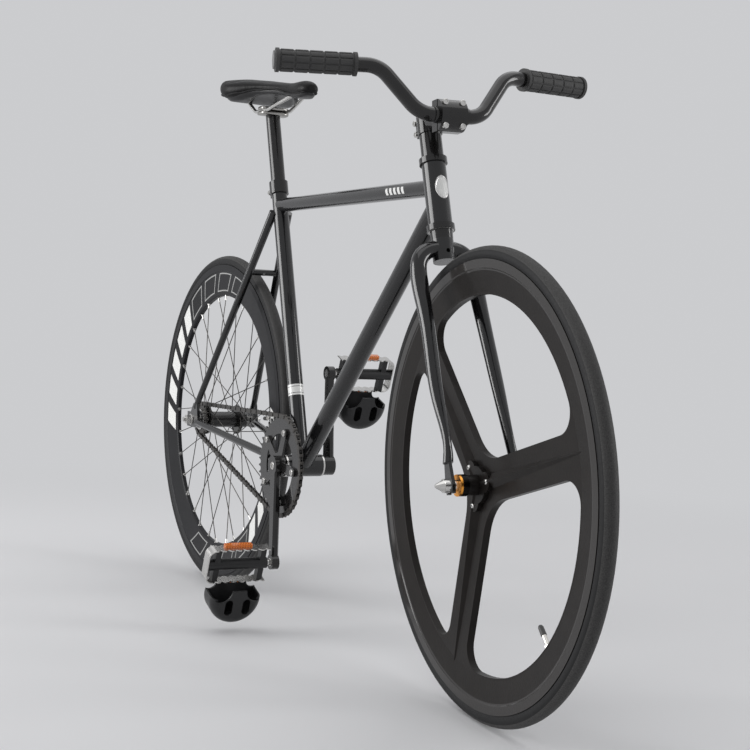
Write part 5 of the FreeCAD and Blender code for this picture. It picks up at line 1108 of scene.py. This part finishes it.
clamp_low, clamp_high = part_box("seat_clamp")
clamp_x = (clamp_low.x + clamp_high.x) / 2
rail_height = clamp_low.z + RAIL_RISE
jaw_half = (clamp_high.y - clamp_low.y) / 2
builder = bmesh.new()
for lift, half_long, half_high in JAWS:
    middle = Vector((clamp_x, 0, rail_height + lift))
    rings = [[(middle.x, -jaw_half, middle.z)]]
    for share, scale in JAW_RINGS:
        rings.append(jaw_ring(middle, half_long * scale, half_high * scale, share * jaw_half))
    rings.append([(middle.x, jaw_half, middle.z)])
    builder.from_mesh(solid_from("jaw", rings))
clamp_bolt = turned("clamp bolt", CLAMP_BOLT, ROUND_SIDES)
clamp_bolt.transform(Matrix.Translation((clamp_x, 0, rail_height - CLAMP_BOLT_DROP)))
builder.from_mesh(clamp_bolt)
clamp_mesh = bpy.data.meshes.new("clamp jaws")
builder.to_mesh(clamp_mesh)
builder.free()
coat(clamp_mesh, steel("dull clamp steel", (0.46, 0.45, 0.43), 0.22, 0.20), smooth=True)
clamp = stand("seat_clamp_jaws", clamp_mesh)
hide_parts("seat_clamp")
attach(clamp, "seat")
dressed.add("seat_clamp")
print("clamp jaws", len(clamp_mesh.polygons), "faces, rails at", round(rail_height, 4))

# %% [markdown]
# ## Valves
# Each wheel shows its valve: a locknut against the rim, a threaded stem and a dust cap. All of
# it is turned, so one profile of steps spun round the stem's own line does it. The line is
# found from the points of the tube that lie inside the rim.

# %% Turn the valves
FRONT_RIM_INSIDE = 0.267
NUT_FLATS, CAP_FROM, STEM_RIBS_PER_METRE = 6, 0.0185, 900
VALVE_STEPS = (
    (0, -0.001, 0), (0.0055, -0.001, NUT_FLATS), (0.0055, 0.0028, NUT_FLATS), (0.0048, 0.0034, 0),
    (0.0034, 0.0034, 0), (0.0034, CAP_FROM, 0), (0.0041, 0.0187, 0), (0.0038, 0.0310, 0),
    (0.0028, 0.0335, 0), (0.0013, 0.0345, 0), (0, 0.0346, 0),
)


def valve_metal(name, centre, outward, rim_radius):
    """Ribbed plated metal up to the dust cap, and dark plastic from there."""
    metal = Finish(name, (0.72, 0.70, 0.66))
    inward = rim_radius - metal.along(centre, outward)
    cap = inward > CAP_FROM
    ribs = ((inward * STEM_RIBS_PER_METRE) % 1) < 0.5
    metal.feed("Base Color", metal.mix(cap, metal.colour, (0.045, 0.045, 0.045)))
    metal.feed("Metallic", 1 - cap)
    metal.feed("Roughness", 0.22 + metal.noise(400) * 0.2 + cap * 0.15)
    metal.bump(ribs * (1 - cap), 0.0002)
    return metal


def valve(name, body, joint, tube, rim_radius):
    """A locknut, stem and dust cap on a tube's valve."""
    axle = Vector(joint["axis"]).normalized()
    centre = Vector(joint["pos_m"])
    flat, reach = about_axle(points_of(tube), centre, axle)[1:]
    stem = flat[reach < VALVE_REACH]
    outward = Vector((stem.max(0) + stem.min(0)) / 2)
    outward = (outward - axle * outward.dot(axle)).normalized()
    mesh = turned(name, VALVE_STEPS, ROUND_SIDES)
    turn = Matrix((axle, axle.cross(outward), -outward)).transposed().to_4x4()
    mesh.transform(Matrix.Translation(centre + outward * rim_radius) @ turn)
    coat(mesh, valve_metal(name + " metal", centre, outward, rim_radius))
    piece = stand(name, mesh)
    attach(piece, body)
    print(name, "stem from", round(reach.min(), 4), "faces", len(mesh.polygons))


for wheel, rim_inside in (("front", FRONT_RIM_INSIDE), ("rear", REAR_RIM_INSIDE)):
    body = wheel + "_wheel"
    valve(wheel + "_valve", body, joints[body + "_spin"], wheel + "_inner_tube", rim_inside)

# %% [markdown]
# ## The studio
# A pale floor in a pale room. Near the bike the floor is plain paint that takes its shadow; further
# out it fades to the colour of the room, so there is no horizon. Only the camera and mirror
# images see that colour at full strength, and the light that falls on the bike stays plain.

# %% Lay the floor
PALE = (0.60, 0.605, 0.62, 1)
FLOOR_RINGS, FLOOR_SIDES = (0.8, 4, 60), 48
FADE_FROM, FADE_TO = 1.1, 2.6
SEEN_RAYS = ("Camera", "Glossy", "Transmission")


def in_sight(graph):
    """1 where the camera or a mirror image looks at something, 0 for light that falls on it."""
    camera_ray, glossy_ray, clear_ray = [
        graph.add("ShaderNodeLightPath", out="Is %s Ray" % kind) for kind in SEEN_RAYS]
    return (camera_ray + glossy_ray + clear_ray).at_most(1)


floor_paint = Finish("studio floor", (0.72, 0.72, 0.73), Specular_IOR_Level=0.2)
floor_paint.polish(0.75, 0.1, 8)
away = floor_paint.add("ShaderNodeVectorMath", {"operation": "LENGTH"}, [floor_paint.place], out=1)
fade = floor_paint.add("ShaderNodeMapRange", {"interpolation_type": "SMOOTHSTEP"}, {
    "Value": away, "From Min": FADE_FROM, "From Max": FADE_TO})
glow = floor_paint.add("ShaderNodeEmission", {}, {"Color": PALE, "Strength": 1.0})
paint_side = Term(floor_paint, floor_paint.shader.outputs[0])
surface = floor_paint.add("ShaderNodeMixShader", {}, [fade * in_sight(floor_paint), paint_side, glow])
floor_paint.tree.links.new(surface.socket, floor_paint.tree.nodes["Material Output"].inputs["Surface"])
floor_mesh = solid_from(
    "studio floor", [[(0, 0, 0)]] + [circle(reach, 0, FLOOR_SIDES) for reach in FLOOR_RINGS])
coat(floor_mesh, floor_paint)
floor = stand("studio floor", floor_mesh)
print("floor fades from", FADE_FROM, "to", FADE_TO, "m")

# %% Colour the room
ROOM_LIGHT = 0.65
world = bpy.data.worlds.new("pale room")
world.use_nodes = True
scene.world = world
room = Graph(world.node_tree)
background = world.node_tree.nodes["Background"]
background.inputs["Color"].default_value = PALE
strength = ROOM_LIGHT + in_sight(room) * (1 - ROOM_LIGHT)
world.node_tree.links.new(strength.socket, background.inputs["Strength"])
print("room colour", PALE[:3])

# %% [markdown]
# ## The lights
# A broad soft panel stands on one side, a tall narrow one on the other, and a wide one hangs above.
# Glossy black shows its lights as streaks, so upright panels suit upright tubes. They stand well
# away from the bike, so that the floor under them doesn't burn out.


# %% Set the lights
def soft_light(name, place, target, width, height, power):
    """A soft panel that faces a point."""
    lamp = bpy.data.lights.new(name, "AREA")
    lamp.shape = "RECTANGLE"
    lamp.size, lamp.size_y = width, height
    lamp.energy = power
    holder = stand(name, lamp)
    holder.location = place
    holder.rotation_euler = (Vector(target) - Vector(place)).to_track_quat("-Z", "Y").to_euler()
    print(name, "shines at", round(power / (math.pi * width * height), 2), "W per square metre and steradian")


soft_light("left panel", (-1.76, -4.36, 1.5), (0, 0, 0.7), 3.2, 2.6, 150)
soft_light("right panel", (2.6, 4.2, 1.5), (0, 0, 0.7), 1.4, 2.6, 70)
soft_light("top panel", (0, 0, 4.2), (0, 0, 0.4), 5.0, 5.0, 70)
scene.view_settings.view_transform = "Standard"

# %% Check and finish
for shape in pattern_shapes:
    bpy.data.objects.remove(shape)
bare = sorted(set(frame["nodes"]) - dressed)
print("nodes with no finish yet:", bare)
